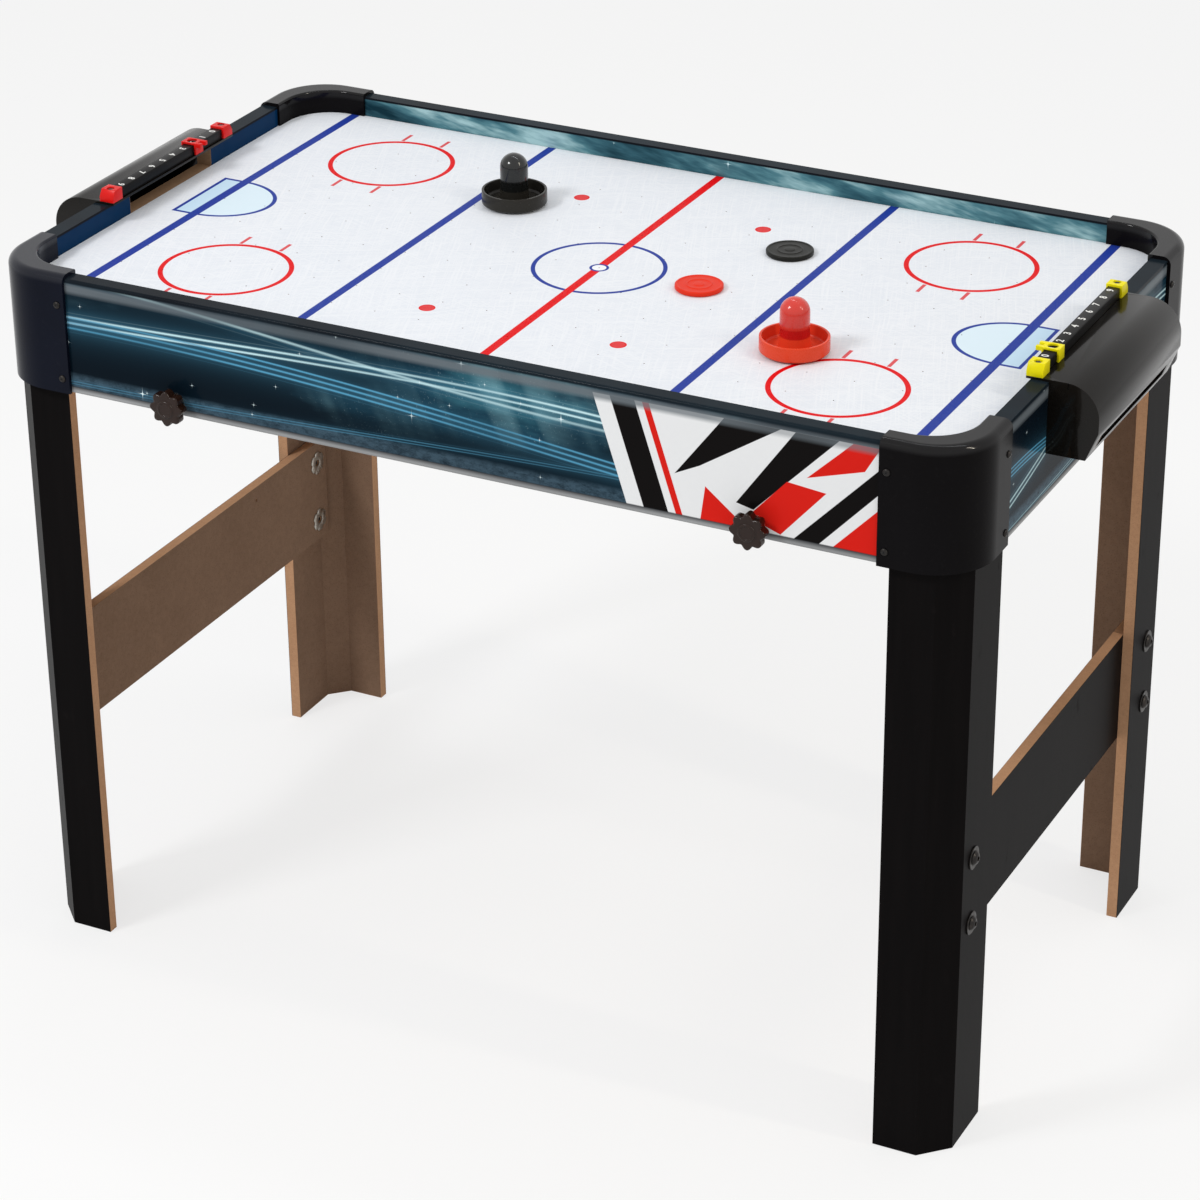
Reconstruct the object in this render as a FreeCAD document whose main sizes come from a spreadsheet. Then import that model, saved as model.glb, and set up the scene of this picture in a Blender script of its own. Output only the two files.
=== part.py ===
import FreeCAD, Part
import math
import os
import re
import Sketcher

# Air hockey table. Millimetres, +Z up, +X to the right-hand goal, -Y to the front.
# The origin is on the floor under the middle of the table.

os.makedirs("parts", exist_ok=True)
doc = FreeCAD.newDocument("AirHockeyTable")
sheet = doc.addObject("Spreadsheet::Sheet", "Sizes")

# Each driving size: its name, its value and what it measures
driving = [
    ("length", 1070, "outer faces of the two end aprons"),
    ("width", 620, "outer faces of the two long aprons"),
    ("rimHeight", 776, "floor to the top of the aprons"),
    ("apronHeight", 125, "depth of the aprons"),
    ("apronThick", 18, "thickness of the aprons, which is the width of the rim"),
    ("apronRound", 3, "rounding of the aprons' long edges"),
    ("fieldDepth", 22, "rim down to the playing surface"),
    ("fieldThick", 5, "playing surface board"),
    ("holePitch", 50, "air hole spacing"),
    ("holeSize", 1.6, "air hole diameter"),
    ("plenumHeight", 24, "air space under the playing surface"),
    ("floorThick", 3, "board that closes the air space"),
    ("battenWidth", 12, "battens and ribs in the air space"),
    ("ribPlace", 178, "middle of the table to a rib"),
    ("ribGap", 40, "air gap at the ends of the ribs"),
    ("capLength", 90, "corner cap along each apron"),
    ("capWall", 4, "corner cap outside wall and top"),
    ("capLip", 3, "corner cap wall inside the rink"),
    ("capRound", 62, "outer corner radius of the caps"),
    ("rinkRound", 50, "inner corner radius of the rink"),
    ("capEdge", 9, "rounding of the caps' outer top edge"),
    ("lipEdge", 2.5, "rounding of the caps' inner top edge"),
    ("capScrewIn", 8, "cap screws from the end of the wing"),
    ("capScrewTop", 28, "upper cap screws below the rim"),
    ("capScrewLow", 16, "lower cap screws above the apron's edge"),
    ("screwSize", 3.5, "wood screw shank"),
    ("screwHead", 7.5, "wood screw head"),
    ("screwHeadHigh", 2, "wood screw head height"),
    ("screwGrip", 12, "wood screw depth in the apron"),
    ("legBoard", 12, "thickness of the folded leg boards"),
    ("legInset", 6, "leg faces behind the apron faces"),
    ("legFront", 75, "leg wing on the long side"),
    ("legSide", 98, "leg wing on the short side"),
    ("legCut", 28, "leg corner fold, along each face"),
    ("blockLength", 90, "corner block along each apron"),
    ("blockNose", 16, "corner block at its narrow ends"),
    ("legBoltIn", 44, "leg bolts from the leg's corner"),
    ("blockGrip", 28, "leg bolts into the corner blocks"),
    ("legBoltLow", 24, "lower leg bolt above the apron's edge"),
    ("legBoltHigh", 48, "upper leg bolt above the apron's edge"),
    ("panelHeight", 125, "cross panels between the legs"),
    ("panelThick", 12, "cross panel board"),
    ("panelRise", 225, "floor to the cross panels"),
    ("panelBoltIn", 20, "panel bolts from the panel's end"),
    ("panelBoltApart", 74, "spacing of a pair of panel bolts"),
    ("boltSize", 6, "machine bolt shank"),
    ("boltHead", 15, "machine bolt head"),
    ("boltHeadHigh", 4, "machine bolt head height"),
    ("washerSize", 24, "washer diameter"),
    ("washerThick", 1.5, "washer thickness"),
    ("knobWasher", 21, "star knob washer diameter"),
    ("nutFlange", 28, "T-nut flange diameter"),
    ("nutPlate", 1.2, "T-nut flange thickness"),
    ("nutBarrel", 9, "T-nut barrel diameter"),
    ("nutDeep", 9, "T-nut barrel depth"),
    ("boltShort", 1, "panel bolts end inside the T-nuts"),
    ("pilotSize", 4, "spare pilot hole in the back of a cross panel"),
    ("pilotDeep", 7, "depth of that hole"),
    ("pilotPlace", 115, "middle of the panel to that hole"),
    ("pilotDown", 16, "panel's top edge down to that hole"),
    ("goalMouth", 160, "width of the goal openings"),
    ("goalSill", 1, "goal sill below the playing surface"),
    ("hoodLength", 236, "goal box along the end apron"),
    ("hoodDepth", 52, "goal box out from the end apron"),
    ("hoodHeight", 74, "goal box below the rim"),
    ("hoodRound", 34, "rounding of the goal box's top"),
    ("hoodLip", 44, "rim down to the goal box's lower lip"),
    ("hoodLap", 5, "goal box shelf past the rim, over the rink"),
    ("trayDepth", 40, "puck tray out from the end apron"),
    ("trayLip", 6, "puck tray front edge"),
    ("windowHigh", 12, "height of the tray's window"),
    ("skin", 2.5, "wall of the goal box"),
    ("windowMargin", 24, "goal box end to the tray's window"),
    ("barWidth", 13, "score bar across"),
    ("barHigh", 11, "score bar height"),
    ("clipLength", 18, "score bar end clip along the bar"),
    ("clipOver", 2, "end clip proud of the bar, each side"),
    ("clipScrewLong", 22, "end clip screw in the apron"),
    ("clipSink", 1, "end clip screw heads below the clip"),
    ("sliderLength", 15, "score slider along the bar"),
    ("sliderWall", 2.2, "score slider wall"),
    ("prongLong", 6, "score slider prongs"),
    ("slideGap", 0.35, "clearance round the score sliders"),
    ("pusherSize", 70, "pusher diameter"),
    ("pusherRim", 17, "pusher rim height"),
    ("pusherWall", 2.6, "pusher rim thickness"),
    ("pusherHigh", 57, "pusher height"),
    ("gripSize", 30, "pusher knob diameter"),
    ("neckSize", 29, "pusher neck diameter"),
    ("gripLow", 27, "base to the underside of the knob"),
    ("padSize", 60, "pusher glide pad diameter"),
    ("padThick", 1.5, "pusher glide pad thickness"),
    ("pusherFoot", 1.5, "chamfer under the pusher's rim"),
    ("pusherDraft", 0.8, "slope inside the pusher's rim"),
    ("neckFlare", 2, "pusher neck spreads at its foot"),
    ("neckRise", 20, "height of that flare"),
    ("gripTaper", 1, "slope under the pusher's knob"),
    ("blackPusherX", -163, "black pusher from the middle"),
    ("blackPusherY", 122, "black pusher from the middle"),
    ("redPusherX", 269, "red pusher from the middle"),
    ("redPusherY", -110, "red pusher from the middle"),
    ("puckSize", 50, "puck diameter"),
    ("puckThick", 5, "puck thickness"),
    ("puckEdge", 1, "chamfer round the puck"),
    ("grooveOut", 36, "outer diameter of the ring sunk in the puck"),
    ("grooveIn", 23, "inner diameter of that ring"),
    ("grooveSlope", 1, "slope of its sides"),
    ("grooveDeep", 0.6, "depth of that ring"),
    ("blackPuckX", 160, "black puck from the middle"),
    ("blackPuckY", 121, "black puck from the middle"),
    ("redPuckX", 116, "red puck from the middle"),
    ("redPuckY", -5, "red puck from the middle"),
    ("airFilm", 0.3, "gap under the pucks and pushers"),
    ("knobIn", 215, "end apron's outer face to a star knob"),
    ("knobRise", 14, "star knob axis above the apron's edge"),
    ("knobSize", 38, "star knob over its lobes"),
    ("lobeSize", 9.4, "star knob lobe diameter"),
    ("knobThick", 12, "star knob head"),
    ("knobNeck", 6, "star knob neck length"),
    ("knobNeckSize", 19, "star knob neck diameter"),
    ("knobFace", 1.5, "raised disc on the star knob"),
    ("studGrip", 13, "star knob stud in its insert"),
    ("studFit", 0.05, "radial running fit of the stud"),
    ("shaftFit", 0.05, "radial running fit of shafts and pins"),
    ("insertSize", 10, "threaded insert diameter"),
    ("insertDeep", 15, "threaded insert length"),
    ("bearerThick", 18, "cross bearers under the air space"),
    ("bearerRise", 4, "cross bearers above the apron's edge"),
    ("fanPlace", 120, "middle of the table to the fan, towards the back"),
    ("fanSide", 92, "fan frame side"),
    ("fanDeep", 25, "fan frame depth"),
    ("ductSize", 86, "fan duct diameter"),
    ("bladeGap", 2.5, "blade tips to the duct"),
    ("hubSize", 37, "impeller hub diameter"),
    ("motorSize", 29, "fan motor diameter"),
    ("motorHigh", 12, "fan motor height"),
    ("shaftSize", 3, "fan shaft diameter"),
    ("strutThick", 4, "struts that hold the fan motor"),
    ("strutWidth", 7, "width of the struts"),
    ("strutRoot", 2, "struts let into the frame"),
    ("motorSeat", 1, "plate past the motor"),
    ("motorGap", 1.5, "hub to motor"),
    ("shaftOut", 6.5, "shaft beyond the motor"),
    ("hubGap", 2, "hub's lower edge above the motor plate"),
    ("hubCrown", 6, "hub's top above the motor"),
    ("bladeThick", 1.8, "blade thickness"),
    ("bladeRoot", 1, "blades let into the hub"),
    ("bladePitch", 35, "blade pitch in degrees"),
    ("guardThick", 3, "fan guard"),
    ("guardStep", 9, "spacing of the guard's rings"),
    ("guardSlot", 6.5, "width of the guard's slots"),
    ("guardSpoke", 4, "width of the guard's spokes"),
    ("fanScrewIn", 5.5, "fan screws from the frame's sides"),
    ("fanScrewOut", 5, "fan screws into the air space"),
    ("fanNut", 3, "fan nut height"),
    ("powerRise", 46, "switch and inlet above the apron's edge"),
    ("switchPlace", 20, "middle of the table to the switch and to the inlet"),
    ("switchLong", 24, "switch bezel height"),
    ("switchWide", 18, "switch bezel width"),
    ("rockerWide", 12, "rocker width"),
    ("rockerReach", 6.5, "rocker corner radius"),
    ("rockerTilt", 10, "rocker tilt each way, in degrees"),
    ("rockerBack", 4, "rocker's back corners from its pin"),
    ("rockerOut", 2.9, "rocker's front corners out from its pin"),
    ("rockerHigh", 5.8, "rocker's front corners above and below its pin"),
    ("rockerDip", 1.6, "middle of the rocker's front out from its pin"),
    ("rockerSink", 1, "rocker pin behind the apron's face"),
    ("pinSize", 2, "rocker pin and inlet contact diameter"),
    ("pinLong", 1.4, "rocker pin past the rocker"),
    ("bezelThick", 2, "bezel and inlet flange"),
    ("switchWall", 2, "wall of the switch body"),
    ("switchBack", 6, "switch and inlet behind the apron"),
    ("wellDeep", 8, "depth of the switch and inlet wells in the apron"),
    ("jackSize", 11, "power inlet barrel"),
    ("jackBore", 5.5, "power inlet bore"),
    ("leadSize", 4, "fan lead diameter"),
    ("leadDrop", 2, "fan lead below the air space"),
    ("leadClip", 8, "lead clip along the lead"),
    ("leadClipIn", 16, "lead clip behind the fan"),
    ("leadClipWall", 1, "lead clip under the lead"),
    ("jumperReach", 12, "short wire out from the inlet"),
    ("fitGap", 0.5, "clearance where boards drop in"),
]

for row, (alias, value, meaning) in enumerate(driving, start=1):
    sheet.set(f"A{row}", meaning)
    sheet.set(f"B{row}", str(value))
    sheet.setAlias(f"B{row}", alias)
doc.recompute()

aliases = {alias for alias, value, meaning in driving}
nodes = []
count = 0


def bound(text):
    """The expression with the sheet's name before each driving size."""
    return re.sub(r"[A-Za-z]\w*", lambda word: name_in_sheet(word.group()), text)


def name_in_sheet(word):
    if word in aliases:
        return "Sizes." + word
    return word


def size(text):
    """The number that an expression gives."""
    return float(sheet.evalExpression(bound(text)))


def bind(thing, prop, text):
    thing.setExpression(prop, bound(text))


def fresh(stem):
    """A name for a helper object."""
    global count
    count += 1
    return f"{stem}{count}"


def node(thing, label):
    """Keep an object as a sub-part under its own label."""
    thing.Label = label
    nodes.append(thing)
    return thing


def place(thing, x, y, z, rotation=None):
    if rotation is not None:
        thing.Placement = FreeCAD.Placement(FreeCAD.Vector(), rotation)
    for letter, text in zip("xyz", (x, y, z)):
        bind(thing, f"Placement.Base.{letter}", text)
    return thing


def box(x, y, z):
    """A box from three pairs of expressions, low and high."""
    thing = doc.addObject("Part::Box", fresh("Box"))
    for prop, (low, high) in zip(("Length", "Width", "Height"), (x, y, z)):
        bind(thing, prop, f"({high}) - ({low})")
    return place(thing, x[0], y[0], z[0])


TURN = {
    "x": FreeCAD.Rotation(FreeCAD.Vector(0, 1, 0), 90),
    "y": FreeCAD.Rotation(FreeCAD.Vector(1, 0, 0), -90),
    "z": FreeCAD.Rotation(),
}


def rod(axis, radius, span, across, tip=None):
    """A cylinder, or a cone where tip is given, along an axis.

    span is its low and high end and across its place on the other two axes, in x, y, z order.
    """
    kind = "Part::Cylinder" if tip is None else "Part::Cone"
    thing = doc.addObject(kind, fresh("Rod"))
    if tip is None:
        bind(thing, "Radius", radius)
    else:
        bind(thing, "Radius1", radius)
        bind(thing, "Radius2", tip)
    bind(thing, "Height", f"({span[1]}) - ({span[0]})")
    spot = list(across)
    spot.insert("xyz".index(axis), span[0])
    return place(thing, spot[0], spot[1], spot[2], TURN[axis])


def gather(things):
    group = doc.addObject("Part::Compound", fresh("Group"))
    group.Links = things
    return group


def cut(base, tools):
    thing = doc.addObject("Part::Cut", fresh("Cut"))
    thing.Base = base
    thing.Tool = tools[0] if len(tools) == 1 else gather(tools)
    return thing


def fuse(things):
    thing = doc.addObject("Part::MultiFuse", fresh("Fuse"))
    thing.Shapes = things
    thing.Refine = True
    return thing


def plane(body, role):
    for feature in body.Origin.OriginFeatures:
        if feature.Role == role:
            return feature
    raise ValueError(role)


def start_body():
    return doc.addObject("PartDesign::Body", fresh("Body"))


def flat(body, role, level):
    """An empty sketch on one of the body's origin planes, at a level along its axis."""
    sketch = body.newObject("Sketcher::SketchObject", fresh("Sketch"))
    sketch.AttachmentSupport = [(plane(body, role), "")]
    sketch.MapMode = "FlatFace"
    sign = "-1" if role == "XZ_Plane" else "1"
    bind(sketch, "AttachmentOffset.Base.z", f"{sign}*({level})")
    return sketch


def pin(sketch, geometry, end, x, y):
    """Fix a point of the sketch by two bound distances from its origin."""
    for kind, text in (("DistanceX", x), ("DistanceY", y)):
        item = Sketcher.Constraint(kind, -1, 1, geometry, end, size(text))
        bind(sketch, f"Constraints[{sketch.addConstraint(item)}]", text)


def draw_circle(sketch, x, y, radius):
    centre = FreeCAD.Vector(size(x), size(y), 0)
    circle = Part.Circle(centre, FreeCAD.Vector(0, 0, 1), size(radius))
    geometry = sketch.addGeometry(circle, False)
    pin(sketch, geometry, 3, x, y)
    item = sketch.addConstraint(Sketcher.Constraint("Radius", geometry, size(radius)))
    bind(sketch, f"Constraints[{item}]", radius)


def draw_outline(sketch, corners):
    """A closed outline of corners (x, y), or (x, y, radius) at a square corner."""
    stops = []
    for index, corner in enumerate(corners):
        before = corners[index - 1]
        after = corners[(index + 1) % len(corners)]
        if len(corner) == 2:
            stops.append((corner, None))
            continue
        arrive = toward(corner, before)
        leave = toward(corner, after)
        stops.append((arrive, None))
        stops.append((leave, corner))
    joints = []
    for index, (stop, arc) in enumerate(stops):
        start = stops[index - 1][0]
        from_point = FreeCAD.Vector(size(start[0]), size(start[1]), 0)
        to_point = FreeCAD.Vector(size(stop[0]), size(stop[1]), 0)
        if from_point.distanceToPoint(to_point) < 1e-7:
            continue
        if arc is None:
            geometry = sketch.addGeometry(Part.LineSegment(from_point, to_point), False)
            joints.append((geometry, 1, 2, stop))
            continue
        corner = FreeCAD.Vector(size(arc[0]), size(arc[1]), 0)
        radius = size(arc[2])
        centre = from_point + to_point - corner
        middle = centre + (corner - centre).normalize() * radius
        curve = Part.Arc(from_point, middle, to_point).toShape().Curve
        turn = (from_point - centre).cross(to_point - centre).z
        tips = (from_point, to_point) if turn > 0 else (to_point, from_point)
        circle = Part.Circle(centre, FreeCAD.Vector(0, 0, 1), curve.Radius)
        angles = [math.atan2(tip.y - centre.y, tip.x - centre.x) for tip in tips]
        geometry = sketch.addGeometry(Part.ArcOfCircle(circle, angles[0], angles[1]), False)
        item = sketch.addConstraint(Sketcher.Constraint("Radius", geometry, radius))
        bind(sketch, f"Constraints[{item}]", arc[2])
        head, tail = (1, 2) if turn > 0 else (2, 1)
        joints.append((geometry, head, tail, stop))
    for index, (geometry, head, tail, stop) in enumerate(joints):
        after = joints[(index + 1) % len(joints)]
        sketch.addConstraint(Sketcher.Constraint("Coincident", geometry, tail, after[0], after[1]))
        pin(sketch, geometry, tail, stop[0], stop[1])


def toward(corner, neighbour):
    """The point of a rounded square corner on the side of one neighbour."""
    x, y, radius = corner
    step_x = size(neighbour[0]) - size(x)
    step_y = size(neighbour[1]) - size(y)
    if abs(step_x) > abs(step_y):
        sign = 1 if step_x > 0 else -1
        return (f"({x}) + {sign}*({radius})", y)
    sign = 1 if step_y > 0 else -1
    return (x, f"({y}) + {sign}*({radius})")


def pad(body, role, outline, low, high):
    """Add an outline, as thick as from low to high along the plane's axis."""
    sketch = flat(body, role, high if role == "XZ_Plane" else low)
    draw(sketch, outline)
    feature = body.newObject("PartDesign::Pad", fresh("Pad"))
    feature.Profile = sketch
    bind(feature, "Length", f"({high}) - ({low})")
    return settle(body, feature)


def pocket(body, role, outline, low, high):
    """Cut an outline away, from low to high along the plane's axis."""
    before = body.Shape.Volume
    sketch = flat(body, role, low if role == "XZ_Plane" else high)
    draw(sketch, outline)
    feature = body.newObject("PartDesign::Pocket", fresh("Pocket"))
    feature.Profile = sketch
    bind(feature, "Length", f"({high}) - ({low})")
    settle(body, feature)
    if body.Shape.Volume >= before:
        raise ValueError(f"{feature.Name} cuts nothing")
    return feature


def draw(sketch, outline):
    """Draw circles, each (x, y, radius) in a list marked round, or one outline."""
    if outline[0] == "round":
        for circle in outline[1:]:
            draw_circle(sketch, circle[0], circle[1], circle[2])
    else:
        draw_outline(sketch, outline)


def settle(body, feature):
    """Make a feature the body's last one, and stop where it has failed."""
    doc.recompute()
    body.Tip = feature
    doc.recompute()
    if "Invalid" in feature.State:
        raise ValueError(f"{feature.Name}: {feature.getStatusString()}")
    return feature


def turned(outline):
    """A body of revolution about its own Z axis, from radius and height pairs."""
    body = start_body()
    sketch = flat(body, "XZ_Plane", "0")
    draw_outline(sketch, outline)
    feature = body.newObject("PartDesign::Revolution", fresh("Turned"))
    feature.Profile = sketch
    feature.ReferenceAxis = (sketch, ["V_Axis"])
    feature.Angle = 360
    settle(body, feature)
    return body


def round_edges(body, radius, wanted):
    """Round the edges of the body whose middle point and direction suit."""
    picked = []
    for index, edge in enumerate(body.Shape.Edges, start=1):
        middle = edge.valueAt((edge.FirstParameter + edge.LastParameter) / 2)
        if wanted(edge, middle):
            picked.append(f"Edge{index}")
    base = body.Tip
    feature = body.newObject("PartDesign::Fillet", fresh("Fillet"))
    feature.Base = (base, picked)
    bind(feature, "Radius", radius)
    return settle(body, feature)


def rectangle(x, y):
    return [(x[0], y[0]), (x[1], y[0]), (x[1], y[1]), (x[0], y[1])]


def near(a, b):
    return abs(a - b) < 1e-4


def ends(sign, inner, outer):
    """A low and high pair on the side of the table that sign names."""
    if sign > 0:
        return (inner, outer)
    return (f"-({outer})", f"-({inner})")


# Levels and faces that many pieces share
apron_low = "(rimHeight - apronHeight)"
field_top = "(rimHeight - fieldDepth)"
field_low = f"({field_top} - fieldThick)"
plenum_low = f"({field_low} - plenumHeight)"
floor_low = f"({plenum_low} - floorThick)"
rim_x = "(length/2 - apronThick)"
rim_y = "(width/2 - apronThick)"
apron_end_x = "(length/2 + capWall - capRound)"
apron_end_y = "(width/2 + capWall - capRound)"
leg_x = "(length/2 - legInset)"
leg_y = "(width/2 - legInset)"
tongue_top = f"({floor_low} - 2*fitGap)"
shelf_top = "(rimHeight + skin)"
bar_in = f"({rim_x} - hoodLap + clipOver)"
knob_z = f"({apron_low} + knobRise)"
knob_x = "(length/2 - knobIn)"
power_z = f"({apron_low} + powerRise)"
panel_end = f"({leg_y} - legCut - legBoard*(sqrt(2) - 1) - fitGap)"
switch_neck = ("(rockerWide/2 + switchWall)", "(rockerReach + switchWall)")
bolt_grip = "(legBoard + blockGrip)"
lead_z = f"({floor_low} - leadSize - leadDrop)"

sides = {"left": -1, "right": 1}
faces = {"front": -1, "back": 1}
digits = range(10)


def playfield():
    """The white board with its grid of air holes."""
    body = start_body()
    across = (f"-({rim_x} - fitGap)", f"{rim_x} - fitGap")
    deep = (f"-({rim_y} - fitGap)", f"{rim_y} - fitGap")
    pad(body, "XY_Plane", rectangle(across, deep), field_low, field_top)
    columns = 2 * int(size(f"({rim_x} - rinkRound)/holePitch")) + 1
    rows = 2 * int(size(f"({rim_y} - rinkRound)/holePitch")) + 1
    first = (f"-{columns // 2}*holePitch", f"-{rows // 2}*holePitch", "holeSize/2")
    hole = pocket(body, "XY_Plane", ["round", first], field_low, field_top)
    grid = body.newObject("PartDesign::MultiTransform", "HoleGrid")
    grid.Originals = [hole]
    steps = []
    for axis, number in (("H_Axis", columns), ("V_Axis", rows)):
        step = body.newObject("PartDesign::LinearPattern", fresh("Row"))
        step.Direction = (hole.Profile[0], [axis])
        bind(step, "Length", f"{number - 1}*holePitch")
        step.Occurrences = number
        steps.append(step)
    grid.Transformations = steps
    settle(body, grid)
    return node(body, "playfield")


def long_apron(face, sign):
    """A long side board with rounded edges, bored for the star knobs and screws."""
    body = start_body()
    across = (f"-({apron_end_x})", apron_end_x)
    low, high = ends(sign, rim_y, "width/2")
    pad(body, "XZ_Plane", rectangle(across, (apron_low, "rimHeight")), low, high)
    outer = sign * size("width/2")
    round_edges(body, "apronRound", lambda edge, middle: near(middle.y, outer) and near(middle.x, 0))
    bores = [rod("y", "boltSize/2 + slideGap", (low, high), (f"{side}*{knob_x}", knob_z))
             for side in sides.values()]
    for x, z in cap_screw_spots("length/2"):
        span = ends(sign, "width/2 - screwGrip", "width/2")
        bores.append(rod("y", "screwSize/2", span, (x, z)))
    if face == "back":
        bores.append(box((f"switchPlace - {switch_neck[0]}", f"switchPlace + {switch_neck[0]}"),
                         (low, high),
                         (f"{power_z} - {switch_neck[1]}", f"{power_z} + {switch_neck[1]}")))
        bores.append(rod("y", "jackSize/2", (low, high), ("-switchPlace", power_z)))
    return node(cut(body, bores), f"{face}_apron")


def cap_screw_spots(outer):
    """Places of the screws through the two cap wings on one apron."""
    spots = []
    for side in sides.values():
        for z in ("rimHeight - capScrewTop", f"{apron_low} + capScrewLow"):
            spots.append((f"{side}*({outer} - capLength + capScrewIn)", z))
    return spots


def end_apron(side, sign):
    """A short side board, notched down to the playing surface for the goal."""
    body = start_body()
    low, high = ends(sign, rim_x, "length/2")
    deep = (f"-({apron_end_y})", apron_end_y)
    pad(body, "YZ_Plane", rectangle(deep, (apron_low, "rimHeight")), low, high)
    outer = sign * size("length/2")
    round_edges(body, "apronRound", lambda edge, middle: near(middle.x, outer)
                and near(middle.y, 0) and near(middle.z, size(apron_low)))
    mouth = rectangle(("-goalMouth/2", "goalMouth/2"), (f"{field_top} - goalSill", "rimHeight"))
    pocket(body, "YZ_Plane", mouth, low, high)
    bores = []
    for y, z in cap_screw_spots("width/2"):
        span = ends(sign, "length/2 - screwGrip", "length/2")
        bores.append(rod("x", "screwSize/2", span, (y, z)))
    for end in faces.values():
        span = ("rimHeight - clipScrewLong", "rimHeight")
        bores.append(rod("z", "screwSize/2", span, clip_middle(sign, end)))
    return node(cut(body, bores), f"{side}_end_apron")


def clip_middle(sign, end):
    """Where a score bar's end clip is screwed down."""
    return (f"{sign}*({bar_in} + barWidth/2)", f"{end}*(hoodLength/2 - clipLength/2)")


def corner_cap(name, sx, sy):
    """A moulded cap that wraps the outside, the rim and the rink side of a corner."""
    body = start_body()
    wing = (f"{sx}*(length/2 - capLength)", f"{sy}*(width/2 - capLength)")
    skin = (f"{sx}*(length/2 + capWall)", f"{sy}*(width/2 + capWall)")
    board = (f"{sx}*length/2", f"{sy}*width/2")
    rim = (f"{sx}*({rim_x})", f"{sy}*({rim_y})")
    rink = (f"{sx}*({rim_x} - capLip)", f"{sy}*({rim_y} - capLip)")
    shell = [(wing[0], skin[1]), (skin[0], skin[1], "capRound"), (skin[0], wing[1]),
             (rink[0], wing[1]), (rink[0], rink[1], "rinkRound"), (wing[0], rink[1])]
    pad(body, "XY_Plane", shell, apron_low, "rimHeight + capWall")
    below = [(wing[0], wing[1]), (wing[0], board[1]),
             (board[0], board[1], "capRound - capWall"), (board[0], wing[1])]
    pocket(body, "XY_Plane", below, apron_low, field_top)
    channel = [(wing[0], board[1]), (board[0], board[1], "capRound - capWall"),
               (board[0], wing[1]), (rim[0], wing[1]),
               (rim[0], rim[1], "rinkRound + capLip"), (wing[0], rim[1])]
    pocket(body, "XY_Plane", channel, field_top, "rimHeight")
    top = size("rimHeight + capWall")
    halves = (size("length/2 + capWall"), size("width/2 + capWall"))
    centre = (size("length/2 + capWall - capRound"), size("width/2 + capWall - capRound"))

    def outer_edge(edge, middle):
        if not near(middle.z, top):
            return False
        x, y = abs(middle.x), abs(middle.y)
        arc = near(math.hypot(x - centre[0], y - centre[1]), size("capRound"))
        return near(x, halves[0]) or near(y, halves[1]) or (arc and x > centre[0])

    round_edges(body, "capEdge", outer_edge)
    inside = (size(f"{rim_x} - capLip"), size(f"{rim_y} - capLip"))
    bend = (inside[0] - size("rinkRound"), inside[1] - size("rinkRound"))

    def inner_edge(edge, middle):
        if not near(middle.z, top):
            return False
        x, y = abs(middle.x), abs(middle.y)
        arc = near(math.hypot(x - bend[0], y - bend[1]), size("rinkRound")) and x > bend[0]
        return near(x, inside[0]) or near(y, inside[1]) or arc

    round_edges(body, "lipEdge", inner_edge)
    bores = []
    for z in ("rimHeight - capScrewTop", f"{apron_low} + capScrewLow"):
        span = ends(sy, "width/2", "width/2 + capWall")
        bores.append(rod("y", "screwSize/2", span, (f"{sx}*(length/2 - capLength + capScrewIn)", z)))
        span = ends(sx, "length/2", "length/2 + capWall")
        bores.append(rod("x", "screwSize/2", span, (f"{sy}*(width/2 - capLength + capScrewIn)", z)))
    return node(cut(body, bores), name)


def cap_screws():
    """Four small pan-head screws through each corner cap."""
    screws = []
    for sign in faces.values():
        for x, z in cap_screw_spots("length/2"):
            screws.append(wood_screw("y", sign, "width/2 + capWall", "width/2 - screwGrip", (x, z)))
    for sign in sides.values():
        for y, z in cap_screw_spots("width/2"):
            screws.append(wood_screw("x", sign, "length/2 + capWall", "length/2 - screwGrip", (y, z)))
    return node(gather(screws), "cap_screws")


def wood_screw(axis, sign, seat, tip, across):
    """A screw whose head lies on seat, sign times out along the axis."""
    shank = rod(axis, "screwSize/2", ends(sign, tip, seat), across)
    low, high = ends(sign, seat, f"{seat} + screwHeadHigh")
    radii = ("screwHead/2", "screwHead/3") if sign > 0 else ("screwHead/3", "screwHead/2")
    return fuse([shank, rod(axis, radii[0], (low, high), across, radii[1])])


def leg(name, sx, sy):
    """A leg folded from board, with a tongue that rises inside the corner cap."""
    def spot(u, v):
        return (f"{sx}*({leg_x} - ({u}))", f"{sy}*({leg_y} - ({v}))")

    def profile(long, short):
        fold = "legCut + legBoard*(sqrt(2) - 1)"
        return [spot("legCut", "0"), spot(long, "0"), spot(long, "legBoard"), spot(fold, "legBoard"),
                spot("legBoard", fold), spot("legBoard", short), spot("0", short), spot("0", "legCut")]

    body = start_body()
    pad(body, "XY_Plane", profile("legFront", "legSide"), "0", apron_low)
    tongue = profile(f"{leg_x} - ({apron_end_x}) - fitGap", f"{leg_y} - ({apron_end_y}) - fitGap")
    pad(body, "XY_Plane", tongue, apron_low, tongue_top)
    bores = []
    for axis, sign, across in leg_bolt_lines(sx, sy):
        face = leg_y if axis == "y" else leg_x
        bores.append(rod(axis, "boltSize/2", ends(sign, f"{face} - legBoard", face), across))
    for y, z in panel_bolt_spots(sy):
        bores.append(rod("x", "boltSize/2", ends(sx, f"{leg_x} - legBoard", leg_x), (y, z)))
    return node(cut(body, bores), name)


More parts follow.
